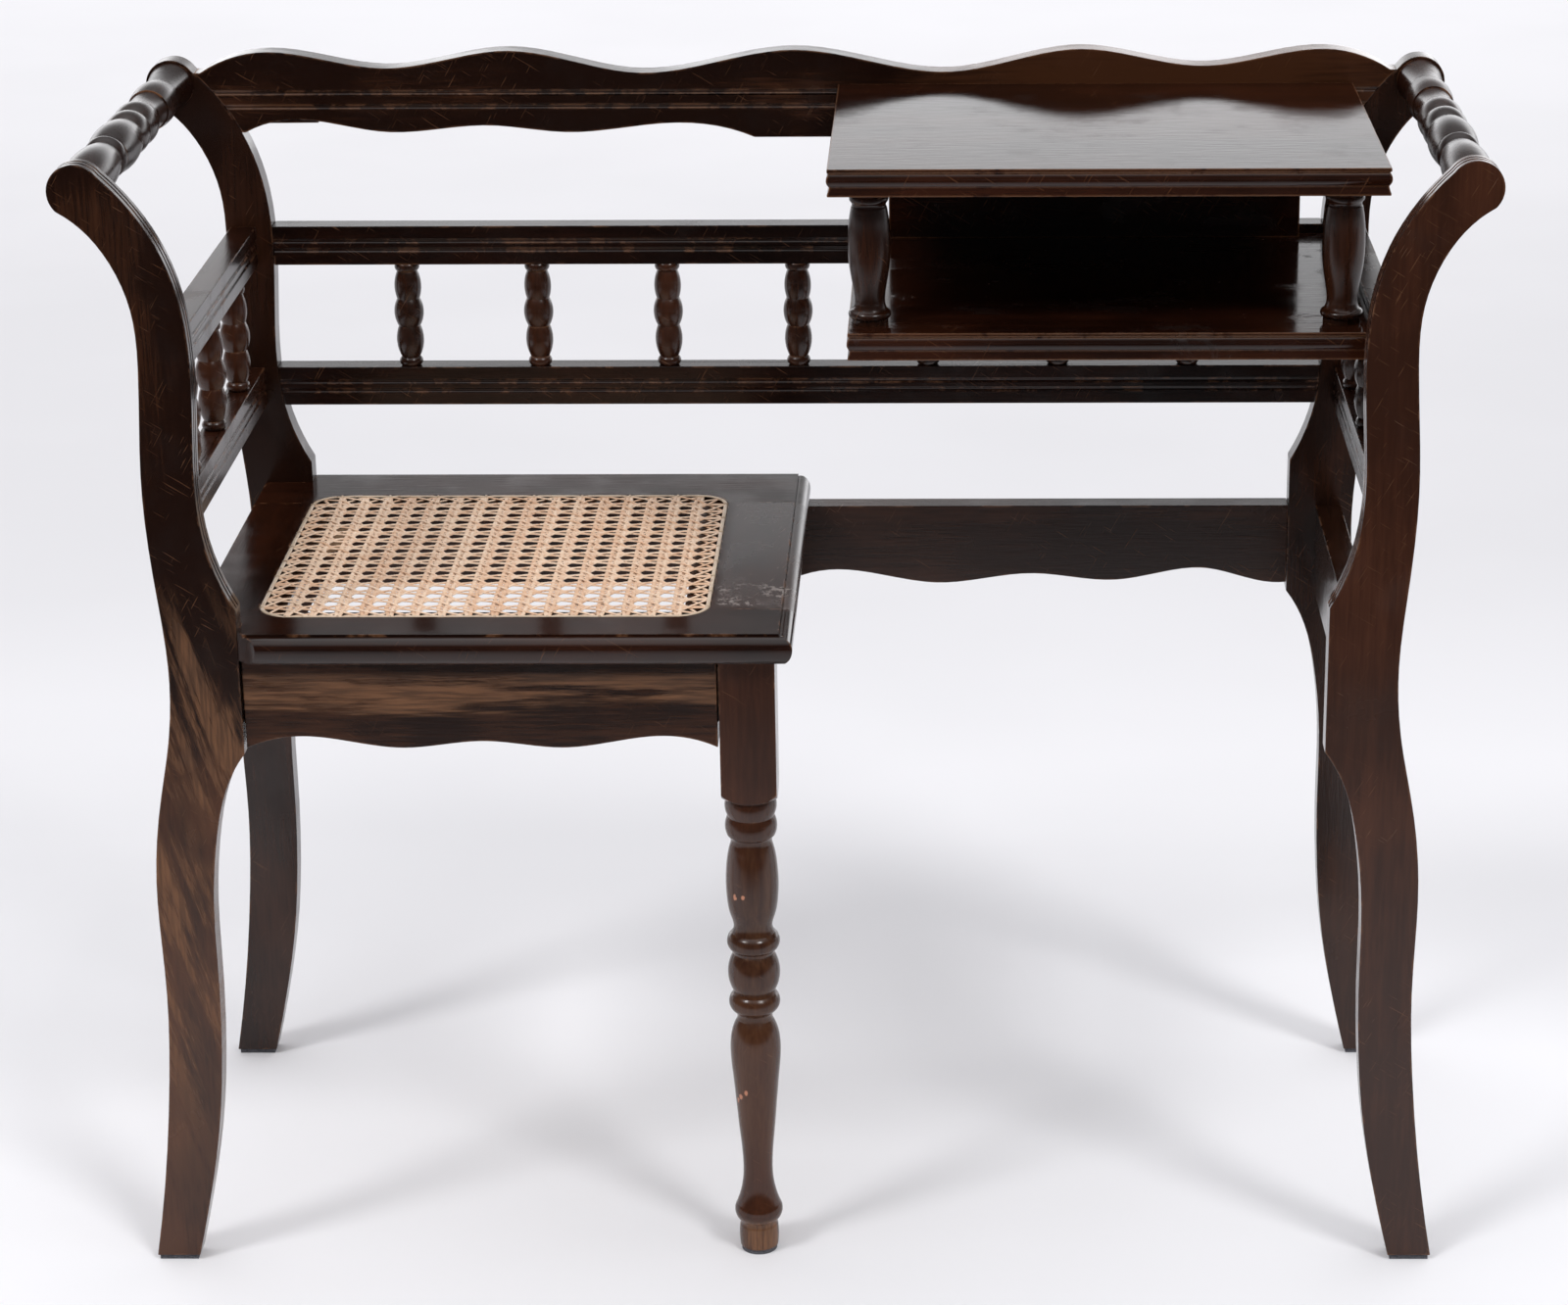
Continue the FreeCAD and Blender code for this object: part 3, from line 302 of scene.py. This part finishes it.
def scratches(place, facing, across, fineness=1150.0, keep=0.70):
    """Short thin lines, from noise that changes fast across them and slowly along them.

    Where the surface faces the same way as across, the lines would spread out, so none show.
    """
    across = Vector(across).normalized()
    along = across.orthogonal().normalized()
    ways = (across * fineness, along * fineness * 0.04, across.cross(along) * fineness * 0.04)
    spread = [place.vector("DOT_PRODUCT", tuple(way), 1) for way in ways]
    threads = noise(place.node("CombineXYZ", {}, dict(enumerate(spread))), 1.0, 1.0)
    patches = noise(place, 14.0, 1.0)
    flat_on = facing.vector("DOT_PRODUCT", tuple(across), 1)
    flat_on = flat_on.sum("ABSOLUTE", flat_on)
    return threads.ramp(keep, keep + 0.05) * patches.ramp(0.42, 0.60) * flat_on.ramp(0.75, 0.45)


def polished_wood(name, grain, deep, warm, wear=0.4, gloss=0.18, offset=0.0, marks=None):
    """A stained and shellacked wood, with its two stain colours.

    wear rubs the arrises. marks gives what shows at one place only: more "warm" stain, "bare"
    wood, "flaked" polish, small "chips" or a "dull" surface.
    """
    material, wire = start_material(name)
    here = wire.node("TexCoord", output=3)
    place = here.vector("ADD", (offset, offset * 0.7, offset * 0.4))
    grained = place.vector("MULTIPLY", GRAIN_STRETCH[grain])
    figure = noise(grained, 38.0, 4.0, 0.6)
    fibres = noise(grained, 420.0, 2.0, 0.6)
    clouds = noise(place, 7.0, 3.0, 0.55)
    local = marks(here, grained) if marks else {}
    stain = figure * 0.40 + fibres * 0.25 + clouds * 0.60 + local.get("warm", 0.0)
    colour = blend_colours(stain.ramp(0.50, 0.80), deep, warm)

    rounded = wire.node("Bevel", {"samples": 4}, {"Radius": 0.0022})
    straight = wire.node("NewGeometry", output=1)
    agree = rounded.vector("DOT_PRODUCT", straight, 1)
    rubbed_by = noise(place, 60.0, 3.0, 0.65)
    arris = (1 - agree).ramp(0.02, 0.16) * rubbed_by.ramp(0.62 - wear * 0.35, 0.78 - wear * 0.35)
    nicks = scratches(place, straight, (0.5, 0.35, 0.8)) + scratches(place, straight, (0.8, -0.3, -0.45))
    worn = wire.sum("MAXIMUM", arris, nicks * 0.32, clamp=True)
    colour = blend_colours(worn, colour, RUBBED_ARRIS)
    if "bare" in local:
        wood = blend_colours(fibres.ramp(0.35, 0.65), BARE_WOOD, [part * 0.5 for part in BARE_WOOD])
        colour = blend_colours(local["bare"], colour, wood)
        worn = wire.sum("MAXIMUM", worn, local["bare"])
    if "flaked" in local:
        colour = blend_colours(local["flaked"], colour, FLAKED)
        worn = wire.sum("MAXIMUM", worn, local["flaked"])
    if "chips" in local:
        colour = blend_colours(local["chips"], colour, CHIPPED)

    haze = noise(place, 24.0, 3.0, 0.6)
    roughness = gloss + haze.ramp(0.45, 0.75) * 0.10 + worn * 0.22 + local.get("dull", 0.0)
    pores = noise(grained, 900.0, 1.0)
    relief = wire.node("Bump", {}, {"Strength": 0.10, "Distance": 0.0006, "Height": fibres * 0.6 + pores * 0.4})
    sockets = {"Base Color": colour, "Roughness": roughness, "Normal": relief, "Specular IOR Level": SHINE}
    end_material(wire, wire.node("BsdfPrincipled", {}, sockets))
    return material


def finish(material, *names):
    for name in names:
        mesh = nodes[name].data
        mesh.materials.clear()
        mesh.materials.append(material)


print("wood finish ready")

# %% [markdown]
# ### Marks of use
# Some wear has its own place. The stain has gone from a band under the seat's front edge and in
# long streaks down the front left leg, the crest rail glows red at its right end, the turned
# leg's foot is rubbed, and the polish on the seat's right side has flaked to a pale patch. Each
# recipe below gives one of these as a number that is 1 inside the mark and 0 outside it.

# %% Where the marks are
def ragged(grained, scale, low, high):
    """Broken streaks that follow the grain."""
    return noise(grained, scale, 4.0, 0.7).ramp(low, high)


def wire_max(first, second):
    return first.sum("MAXIMUM", first, second)


def crest_marks(here, grained):
    right = here.axis(0).ramp(0.02, 0.26) * here.axis(0).ramp(0.46, 0.38)
    return {"warm": right * 0.36 - 0.15}


def front_apron_marks(here, grained):
    height = here.axis(2)
    wandering = height + (noise(grained, 45.0, 4.0, 0.7) - 0.5) * 0.050
    band = wandering.ramp(0.404, 0.410) * height.ramp(0.428, 0.421)
    return {"bare": band * ragged(grained, 130.0, 0.34, 0.56) * 0.85}


def left_leg_marks(here, grained):
    height = here.axis(2)
    tilted = here.vector("MULTIPLY", (1.0, 1.0, 0.10))
    leaned = tilted.node("CombineXYZ", {}, {0: here.axis(0) + here.axis(2) * 0.28, 1: 0.0, 2: tilted.axis(2)})
    legs = height.ramp(0.50, 0.43) * height.ramp(0.02, 0.22)
    beside_seat = height.ramp(0.350, 0.365) * here.axis(0).ramp(-0.360, -0.374)
    legs = legs * wire_max(noise(here, 11.0, 2.0).ramp(0.40, 0.56), beside_seat)
    streaks = legs * noise(leaned, 48.0, 5.0, 0.75).ramp(0.44, 0.58)
    return {"bare": streaks * 0.75, "warm": height.ramp(0.50, 0.30) * 0.26 - 0.13}


def right_leg_marks(here, grained):
    height = here.axis(2)
    return {"warm": height.ramp(0.35, 0.60) * -0.05}


def turned_leg_marks(here, grained):
    height = here.axis(2)
    rubbed = height.ramp(0.029, 0.022) + height.ramp(0.05, 0.10) * height.ramp(0.33, 0.28) * 0.22
    flat = here.vector("MULTIPLY", (1.0, 0.0, 0.6))
    ragged_edge = noise(here, 500.0) * 0.0018
    chips = 0.0
    for x, z in ((-0.0345, 0.2665), (-0.0290, 0.2675), (-0.0300, 0.1230), (-0.0335, 0.1190), (-0.0360, 0.1150)):
        near = flat.vector("DISTANCE", (x, 0.0, z * 0.6), 1) + ragged_edge
        chips = near.ramp(0.0023, 0.0018) + chips
    front = here.axis(1).ramp(-0.150, -0.152)
    return {"bare": rubbed * ragged(grained, 90.0, 0.36, 0.60), "chips": chips * front}


def stile_marks(here, grained):
    x, y = here.axis(0), here.axis(1)
    right = x.ramp(-0.050, -0.040)
    patch = right * y.ramp(-0.124, -0.108) * y.ramp(-0.060, -0.080)
    worn = right * y.ramp(-0.118, -0.112)
    flakes = noise(here, 190.0, 4.0, 0.7).ramp(0.50, 0.58) * noise(here, 40.0, 2.0).ramp(0.42, 0.55)
    return {"flaked": patch * flakes * 0.6, "dull": worn * 0.12}


def shelf_marks(here, grained):
    bend = noise(here, 9.0)
    swirl = here.vector("ADD", bend.node("CombineXYZ", {}, {0: bend * 0.2, 1: 0.0, 2: 0.0}))
    lower = here.axis(2).ramp(0.700, 0.650)
    dust = noise(swirl, 26.0, 4.0, 0.65).ramp(0.50, 0.72)
    return {"dull": lower * dust * 0.35}


print("marks of use described")

# %% Stain and polish each piece along its own grain
POSTS = [f"{place}_post" for place in ("front_left", "front_right", "rear_left", "rear_right")]
BACK_RAILS = ["crest_rail", "mid_back_rail", "lower_back_rail"]
SIDE_RAILS = [f"{side}_{level}_side_rail" for side in ("left", "right") for level in ("upper", "lower")]
ARMS = ["left_arm_rail", "right_arm_rail"]
SPINDLES = sorted(name for name in nodes if "spindle" in name)
COLUMNS = ["shelf_column_left", "shelf_column_right"]
SHELVES = ["upper_shelf", "lower_shelf"]

EBONY = ((0.0095, 0.0028, 0.0014), (0.030, 0.0083, 0.0035))
BROWN = ((0.0130, 0.0042, 0.0020), (0.046, 0.0140, 0.0056))
TAWNY = ((0.0120, 0.0038, 0.0018), (0.072, 0.0250, 0.0100))
RUSSET = ((0.0300, 0.0100, 0.0048), (0.066, 0.0215, 0.0095))
UMBER = ((0.0150, 0.0052, 0.0026), (0.042, 0.0145, 0.0068))
JET = ((0.0055, 0.0017, 0.0009), (0.020, 0.0056, 0.0025))

finish(polished_wood("front_left_wood", "Z", *TAWNY, marks=left_leg_marks), "front_left_post")
finish(polished_wood("front_right_wood", "Z", *RUSSET, offset=1.1, marks=right_leg_marks), "front_right_post")
finish(polished_wood("rear_post_wood", "Z", *UMBER, offset=2.3), "rear_left_post", "rear_right_post")
finish(polished_wood("crest_wood", "X", *TAWNY, offset=3.1, wear=0.6, marks=crest_marks), "crest_rail")
finish(polished_wood("rail_wood", "X", *JET, gloss=0.20, offset=3.1), "mid_back_rail", "lower_back_rail")
finish(polished_wood("seat_rail_wood", "X", *EBONY, gloss=0.13, offset=3.7), "seat_front_rail", "seat_back_rail")
finish(polished_wood("side_rail_wood", "Y", *EBONY, gloss=0.24, offset=5.2), *SIDE_RAILS)
finish(polished_wood("stile_wood", "Y", *EBONY, gloss=0.13, offset=5.2, marks=stile_marks),
       "seat_left_stile", "seat_right_stile")
finish(polished_wood("arm_wood", "Y", *EBONY, gloss=0.26, offset=7.3), *ARMS)
finish(polished_wood("spindle_wood", "Z", *BROWN, gloss=0.22, offset=9.4), *SPINDLES, *COLUMNS)
finish(polished_wood("turned_leg_wood", "Z", *RUSSET, gloss=0.15, offset=8.2, marks=turned_leg_marks), "turned_leg")
finish(polished_wood("front_apron_wood", "X", *TAWNY, offset=1.7, marks=front_apron_marks), "front_apron")
finish(polished_wood("rear_apron_wood", "X", *UMBER, offset=1.9), "rear_apron")
finish(polished_wood("end_apron_wood", "Y", *UMBER, offset=2.9), "left_end_apron", "right_end_apron", "seat_right_apron")
finish(polished_wood("shelf_wood", "X", *EBONY, wear=0.9, gloss=0.10, offset=4.4, marks=shelf_marks), *SHELVES, "shelf_back_board")
print("wood on", sum(1 for name in nodes if nodes[name].data.materials), "pieces")

# %% [markdown]
# ## Softened arrises
# No edge on real furniture is a knife edge: sandpaper takes a fraction of a millimetre off, and
# that tiny round is what catches the light along every rail. A Weld modifier first joins the
# faces of the solid, then a Bevel modifier rounds each sharp edge, and weighted normals keep
# the flats flat.

# %% Round the sharp edges of the flat woodwork
ARRIS = 0.0005
SHARP = math.radians(38)


def soften(names, width=ARRIS):
    for name in names:
        piece = nodes[name]
        weld = piece.modifiers.new("weld", "WELD")
        weld.merge_threshold = 1e-5
        bevel = piece.modifiers.new("arris", "BEVEL")
        bevel.width = width
        bevel.segments = 2
        bevel.limit_method = "ANGLE"
        bevel.angle_limit = SHARP
        bevel.use_clamp_overlap = False
        bevel.face_strength_mode = "FSTR_ALL"
        normals = piece.modifiers.new("flats", "WEIGHTED_NORMAL")
        normals.weight = 90
        normals.use_face_influence = True


FLAT_WORK = POSTS + BACK_RAILS + SIDE_RAILS + SHELVES + [
    "front_apron", "rear_apron", "left_end_apron", "right_end_apron", "seat_right_apron", "shelf_back_board",
]
soften(FLAT_WORK)
print(f"{len(FLAT_WORK)} pieces softened by {ARRIS * 1000:.1f} mm")

# %% [markdown]
# ## Cane
# The seat is hand-caned in the usual six-way pattern. Pairs of strands run front to back and
# side to side, woven one over the other. Then single strands cross both ways on the diagonal,
# one over the side-to-side pairs and under the others, one the opposite way, and cut every
# square gap to an octagon. Each strand is a narrow strip with a domed glossy bark side.
# A woven texture on a flat sheet would look printed, so every strand is its own strip here,
# rising and dipping by its own thickness at each crossing.

# %% Measure the field from the solid it replaces
STRAND_THICK = 0.7 * MM
PAIR_STRAND = 3.1 * MM
DIAGONAL_STRAND = 2.5 * MM
PAIR_OFFSET = 2.25 * MM
BINDER_WIDTH = 3.3 * MM
FIELD_CORNER = 22.5 * MM
COLUMNS_OF_HOLES = 16
ROWS_OF_HOLES = 15
HOLE_PITCH_X = 17.1 * MM
HOLE_PITCH_Y = 15.7 * MM

field_low, field_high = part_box("cane_binder")
weave_middle = field_high.z - 1.15 * MM
hole_low = (field_low.x + BINDER_WIDTH / 2, field_low.y + BINDER_WIDTH / 2)
hole_high = (field_high.x - BINDER_WIDTH / 2, field_high.y - BINDER_WIDTH / 2)
centre = (field_low + field_high) / 2


def hole_line(middle, count, pitch):
    return [middle + (index - (count - 1) / 2) * pitch for index in range(count)]


holes_x = hole_line(centre.x, COLUMNS_OF_HOLES, HOLE_PITCH_X)
holes_y = hole_line(centre.y, ROWS_OF_HOLES, HOLE_PITCH_Y)
print(f"cane field {field_high.x - field_low.x:.3f} by {field_high.y - field_low.y:.3f} m")

# %% Where the pairs lie once woven
FIRST_PAIR_X = 2.75 * MM
LAST_PAIR_X = -2.0 * MM


def woven_line(index):
    """A front-to-back pair. Hand work drifts a few millimetres off the drilled holes."""
    along = index / (COLUMNS_OF_HOLES - 1)
    start = holes_x[0] + FIRST_PAIR_X
    end = holes_x[-1] + LAST_PAIR_X
    drift = -1.8 * math.sin(math.pi * along) - 2.2 * math.sin(2 * math.pi * along)
    return start + (end - start) * along + drift * MM


def stretch_out(lines):
    """Lines at whole and half steps, from half a step before the first to half past the last."""
    first = lines[0] - (lines[1] - lines[0]) / 2
    last = lines[-1] + (lines[-1] - lines[-2]) / 2
    places = [first]
    for here, after in zip(lines, lines[1:]):
        places += [here, (here + after) / 2]
    return places + [lines[-1], last]


lines_x = stretch_out([woven_line(i) for i in range(COLUMNS_OF_HOLES)])
lines_y = stretch_out(holes_y)
print(len(lines_x), "half steps across,", len(lines_y), "half steps deep")

# %% Strip builder
STRAND_SECTION = [(-0.50, 0.30), (-0.30, 0.80), (0.0, 1.0), (0.30, 0.80), (0.50, 0.30), (0.42, 0.0), (-0.42, 0.0)]
ROUNDS_PER_SPAN = 3


class Strips:
    """Many domed strips gathered into one mesh, each with its own tone."""

    def __init__(self, seed):
        self.points = []
        self.faces = []
        self.tones = []
        self.random = random.Random(seed)

    def smooth(self, path):
        """Extra points along a path, on the curve that passes through its own points."""
        padded = [path[0]] + path + [path[-1]]
        rounds = []
        for a, b, c, d in zip(padded, padded[1:], padded[2:], padded[3:]):
            for step in range(ROUNDS_PER_SPAN):
                t = step / ROUNDS_PER_SPAN
                rounds.append(0.5 * (2 * b + (c - a) * t + (2 * a - 5 * b + 4 * c - d) * t * t
                                     + (3 * b - a - 3 * c + d) * t ** 3))
        return rounds + [path[-1]]

    def add(self, path, width, thick=STRAND_THICK):
        tone = self.random.random()
        path = self.smooth([Vector(point) for point in path])
        first = len(self.points)
        size = len(STRAND_SECTION)
        for index, point in enumerate(path):
            ahead = path[min(index + 1, len(path) - 1)] - path[max(index - 1, 0)]
            side = Vector((ahead.y, -ahead.x, 0))
            side = side.normalized() if side.length > 1e-6 else Vector((1, 0, 0))
            up = side.cross(ahead).normalized()
            for across, rise in STRAND_SECTION:
                self.points.append(point + side * across * width + up * (rise - 0.5) * thick)
                self.tones.append(tone)
        for index in range(len(path) - 1):
            start = first + index * size
            for corner in range(size):
                after = (corner + 1) % size
                self.faces.append((start + corner, start + after, start + size + after, start + size + corner))
        self.faces.append(tuple(first + corner for corner in reversed(range(size))))
        self.faces.append(tuple(first + (len(path) - 1) * size + corner for corner in range(size)))

    def piece(self, name):
        mesh = bpy.data.meshes.new(name)
        mesh.from_pydata(self.points, [], self.faces)
        tones = mesh.attributes.new("tone", "FLOAT", "POINT")
        tones.data.foreach_set("value", self.tones)
        mesh.polygons.foreach_set("use_smooth", [True] * len(mesh.polygons))
        piece = bpy.data.objects.new(name, mesh)
        bpy.context.scene.collection.objects.link(piece)
        return piece


print("strip builder ready")

# %% Weave the pairs
LEVEL = 0.62 * MM
HOLE_DIP = 3.2 * MM
HOLE_PINCH = 0.25
weave = Strips(seed=4)


def into_hole(x, y, sideways=(0, 0)):
    """The last points of a strand: over the lip, and down the drilled hole."""
    return [(x + sideways[0], y + sideways[1], weave_middle - 0.1 * MM), (x, y, weave_middle - HOLE_DIP)]


def pair_strand(line, hole, crossings, ends, side, first_up, lengthwise):
    """One strand of a pair, from hole to hole, rising and dipping over the other pairs."""
    def point(along, across, level):
        where = (across, along) if lengthwise else (along, across)
        return (*where, weave_middle + level * LEVEL)

    shift = side * PAIR_OFFSET
    lead = into_hole(*(point(ends[0], hole + shift * HOLE_PINCH, 0)[:2]))
    path = [lead[1], lead[0]]
    for number, crossing in enumerate(crossings):
        path.append(point(crossing - PAIR_OFFSET, line + shift, 0.5 * first_up))
        path.append(point(crossing + PAIR_OFFSET, line + shift, -0.5 * first_up))
        if number < len(crossings) - 1:
            path.append(point((crossing + crossings[number + 1]) / 2, line + shift, 0))
    path += into_hole(*(point(ends[1], hole + shift * HOLE_PINCH, 0)[:2]))
    weave.add(path, PAIR_STRAND)


for index, hole in enumerate(holes_x):
    for side in (-1, 1):
        pair_strand(woven_line(index), hole, holes_y, (hole_low[1], hole_high[1]), side, side, True)
for hole in holes_y:
    for side in (-1, 1):
        crossings = [woven_line(i) for i in range(COLUMNS_OF_HOLES)]
        pair_strand(hole, hole, crossings, (hole_low[0], hole_high[0]), side, side, False)
print(len(weave.points), "points in the pairs")

# %% Weave the diagonals
corner_reach = (FIELD_CORNER - BINDER_WIDTH / 2) * (1 - math.sqrt(0.5))


def edge_hole(a, b, step_a, step_b):
    """The hole that a diagonal reaches next, when it leaves the woven part at half step (a, b)."""
    last_a, last_b = len(lines_x) - 1, len(lines_y) - 1
    if b in (0, last_b):
        number = (a - 1) // 2 + step_a
        if 0 <= number < COLUMNS_OF_HOLES:
            return holes_x[number], (hole_low if b == 0 else hole_high)[1]
    elif a in (0, last_a):
        number = (b - 1) // 2 + step_b
        if 0 <= number < ROWS_OF_HOLES:
            return (hole_low if a == 0 else hole_high)[0], holes_y[number]
    x = hole_low[0] + corner_reach if step_a < 0 else hole_high[0] - corner_reach
    y = hole_low[1] + corner_reach if step_b < 0 else hole_high[1] - corner_reach
    return x, y


def diagonal(a, b, step_b):
    """A strand that climbs one half step in X for each half step in Y, up or down."""
    run = []
    while 0 <= a < len(lines_x) and 0 <= b < len(lines_y):
        over = 1 if (b % 2 == 1) == (step_b > 0) else -1
        run.append((a, b, (lines_x[a], lines_y[b], weave_middle + over * LEVEL)))
        a += 1
        b += step_b
    start = into_hole(*edge_hole(run[0][0], run[0][1], -1, -step_b))
    end = into_hole(*edge_hole(run[-1][0], run[-1][1], 1, step_b))
    weave.add([start[1], start[0]] + [point for _, _, point in run] + end, DIAGONAL_STRAND)


top = len(lines_y) - 1
for a in range(1, len(lines_x), 2):
    diagonal(a, 0, 1)
    diagonal(a, top, -1)
for b in range(1, len(lines_y), 2):
    diagonal(0, b, 1)
    diagonal(0, b, -1)
print(len(weave.faces), "faces in the weave")

# %% Bind the edge
TIE_WIDTH = 1.7 * MM
BINDER_THICK = 0.9 * MM
binder = Strips(seed=8)


def edge_path(inset, step=2.0 * MM):
    """Points round the rounded rectangle of the field, with the way out of it at each point."""
    radius = FIELD_CORNER - inset
    corners = [
        (field_high.x - FIELD_CORNER, field_low.y + FIELD_CORNER, -90),
        (field_high.x - FIELD_CORNER, field_high.y - FIELD_CORNER, 0),
        (field_low.x + FIELD_CORNER, field_high.y - FIELD_CORNER, 90),
        (field_low.x + FIELD_CORNER, field_low.y + FIELD_CORNER, 180),
    ]
    path = []
    for number, (x, y, turn) in enumerate(corners):
        for part in range(9):
            angle = math.radians(turn + 90 * part / 8)
            path.append((x + radius * math.cos(angle), y + radius * math.sin(angle)))
        after = corners[(number + 1) % 4]
        angle = math.radians(turn + 90)
        goal = (after[0] + radius * math.cos(angle), after[1] + radius * math.sin(angle))
        here = path[-1]
        count = int(math.dist(here, goal) / step)
        path += [(here[0] + (goal[0] - here[0]) * k / count, here[1] + (goal[1] - here[1]) * k / count)
                 for k in range(1, count)]
    return path


ties = [(x, y) for x in holes_x[::2] for y in (hole_low[1], hole_high[1])]
ties += [(x, y) for y in holes_y[::2] for x in (hole_low[0], hole_high[0])]
binder_height = field_high.z - BINDER_THICK / 2
around = edge_path(BINDER_WIDTH / 2)
path = []
for x, y in around + around[:1]:
    near = min(math.dist((x, y), tie) for tie in ties)
    path.append((x, y, binder_height - 0.45 * MM * math.exp(-(near / (3.2 * MM)) ** 2)))
binder.add(path, BINDER_WIDTH * 0.88, BINDER_THICK)
middle = Vector((centre.x, centre.y))
for x, y in ties:
    out = Vector((0, 1)) if min(abs(y - hole_low[1]), abs(y - hole_high[1])) < MM else Vector((1, 0))
    shape = [(-1.9, -1.6), (-1.6, -0.2), (-0.9, 0.25), (0.0, 0.38), (0.9, 0.25), (1.6, -0.2), (1.9, -1.6)]
    loop = [(x + out.x * u * MM, y + out.y * u * MM, binder_height + v * MM) for u, v in shape]
    binder.add(loop, TIE_WIDTH, 0.5 * MM)
print(len(ties), "ties round the edge")

# %% Cane colour
CANE_PALE = (0.85, 0.62, 0.45)
CANE_TAN = (0.73, 0.455, 0.29)


def cane(name, pale=CANE_PALE, tan=CANE_TAN):
    material, wire = start_material(name)
    place = wire.node("TexCoord", output=3)
    tone = wire.node("Attribute", {"attribute_name": "tone"}, output=2)
    mottle = noise(place, 120.0, 3.0, 0.6)
    colour = blend_colours((tone * 0.6 + mottle * 0.6).ramp(0.3, 0.9), pale, tan)
    knots = noise(place, 260.0, 1.0).ramp(0.66, 0.72)
    colour = blend_colours(knots * 0.6, colour, (0.28, 0.13, 0.06))
    sockets = {"Base Color": colour, "Roughness": 0.36 + mottle * 0.15}
    end_material(wire, wire.node("BsdfPrincipled", {}, sockets))
    return material


woven = weave.piece("woven_cane")
woven.data.materials.append(cane("cane"))
bound = binder.piece("cane_edge_binder")
bound.data.materials.append(cane("binder_cane", (0.64, 0.50, 0.37), (0.44, 0.31, 0.21)))
for piece, solid in ((woven, "cane_panel"), (bound, "cane_binder")):
    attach(piece, "root")
    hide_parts(solid)
print("cane woven and bound")

# %% [markdown]
# ## The small plain parts
# Felt pads under the feet, softwood corner blocks and steel screws underneath.

# %% Felt, softwood and screws
material, wire = start_material("felt_pad")
place = wire.node("TexCoord", output=3)
fluff = noise(place, 900.0, 3.0, 0.7)
colour = blend_colours(fluff.ramp(0.3, 0.7), (0.05, 0.052, 0.06), (0.14, 0.14, 0.155))
relief = wire.node("Bump", {}, {"Strength": 0.6, "Distance": 0.0005, "Height": fluff})
end_material(wire, wire.node("BsdfPrincipled", {}, {"Base Color": colour, "Roughness": 0.95, "Normal": relief}))
finish(material, *[name for name in nodes if name.startswith("foot_pad")])

material, wire = start_material("bare_softwood")
place = wire.node("TexCoord", output=3)
grained = wire.node("VectorMath", {"operation": "MULTIPLY"}, {0: place, 1: (1.0, 1.0, 0.08)})
rings = noise(grained, 90.0, 4.0, 0.6)
colour = blend_colours(rings.ramp(0.35, 0.65), (0.45, 0.29, 0.16), (0.30, 0.17, 0.085))
end_material(wire, wire.node("BsdfPrincipled", {}, {"Base Color": colour, "Roughness": 0.7}))
finish(material, *[name for name in nodes if name.startswith("corner_block")])

material, wire = start_material("screw_steel")
place = wire.node("TexCoord", output=3)
tarnish = noise(place, 700.0, 3.0, 0.6)
colour = blend_colours(tarnish.ramp(0.4, 0.7), (0.42, 0.40, 0.37), (0.20, 0.16, 0.12))
sockets = {"Base Color": colour, "Metallic": 1.0, "Roughness": 0.3 + tarnish * 0.3}
end_material(wire, wire.node("BsdfPrincipled", {}, sockets))
finish(material, *[name for name in nodes if "screw" in name])
print("pads, blocks and screws finished")
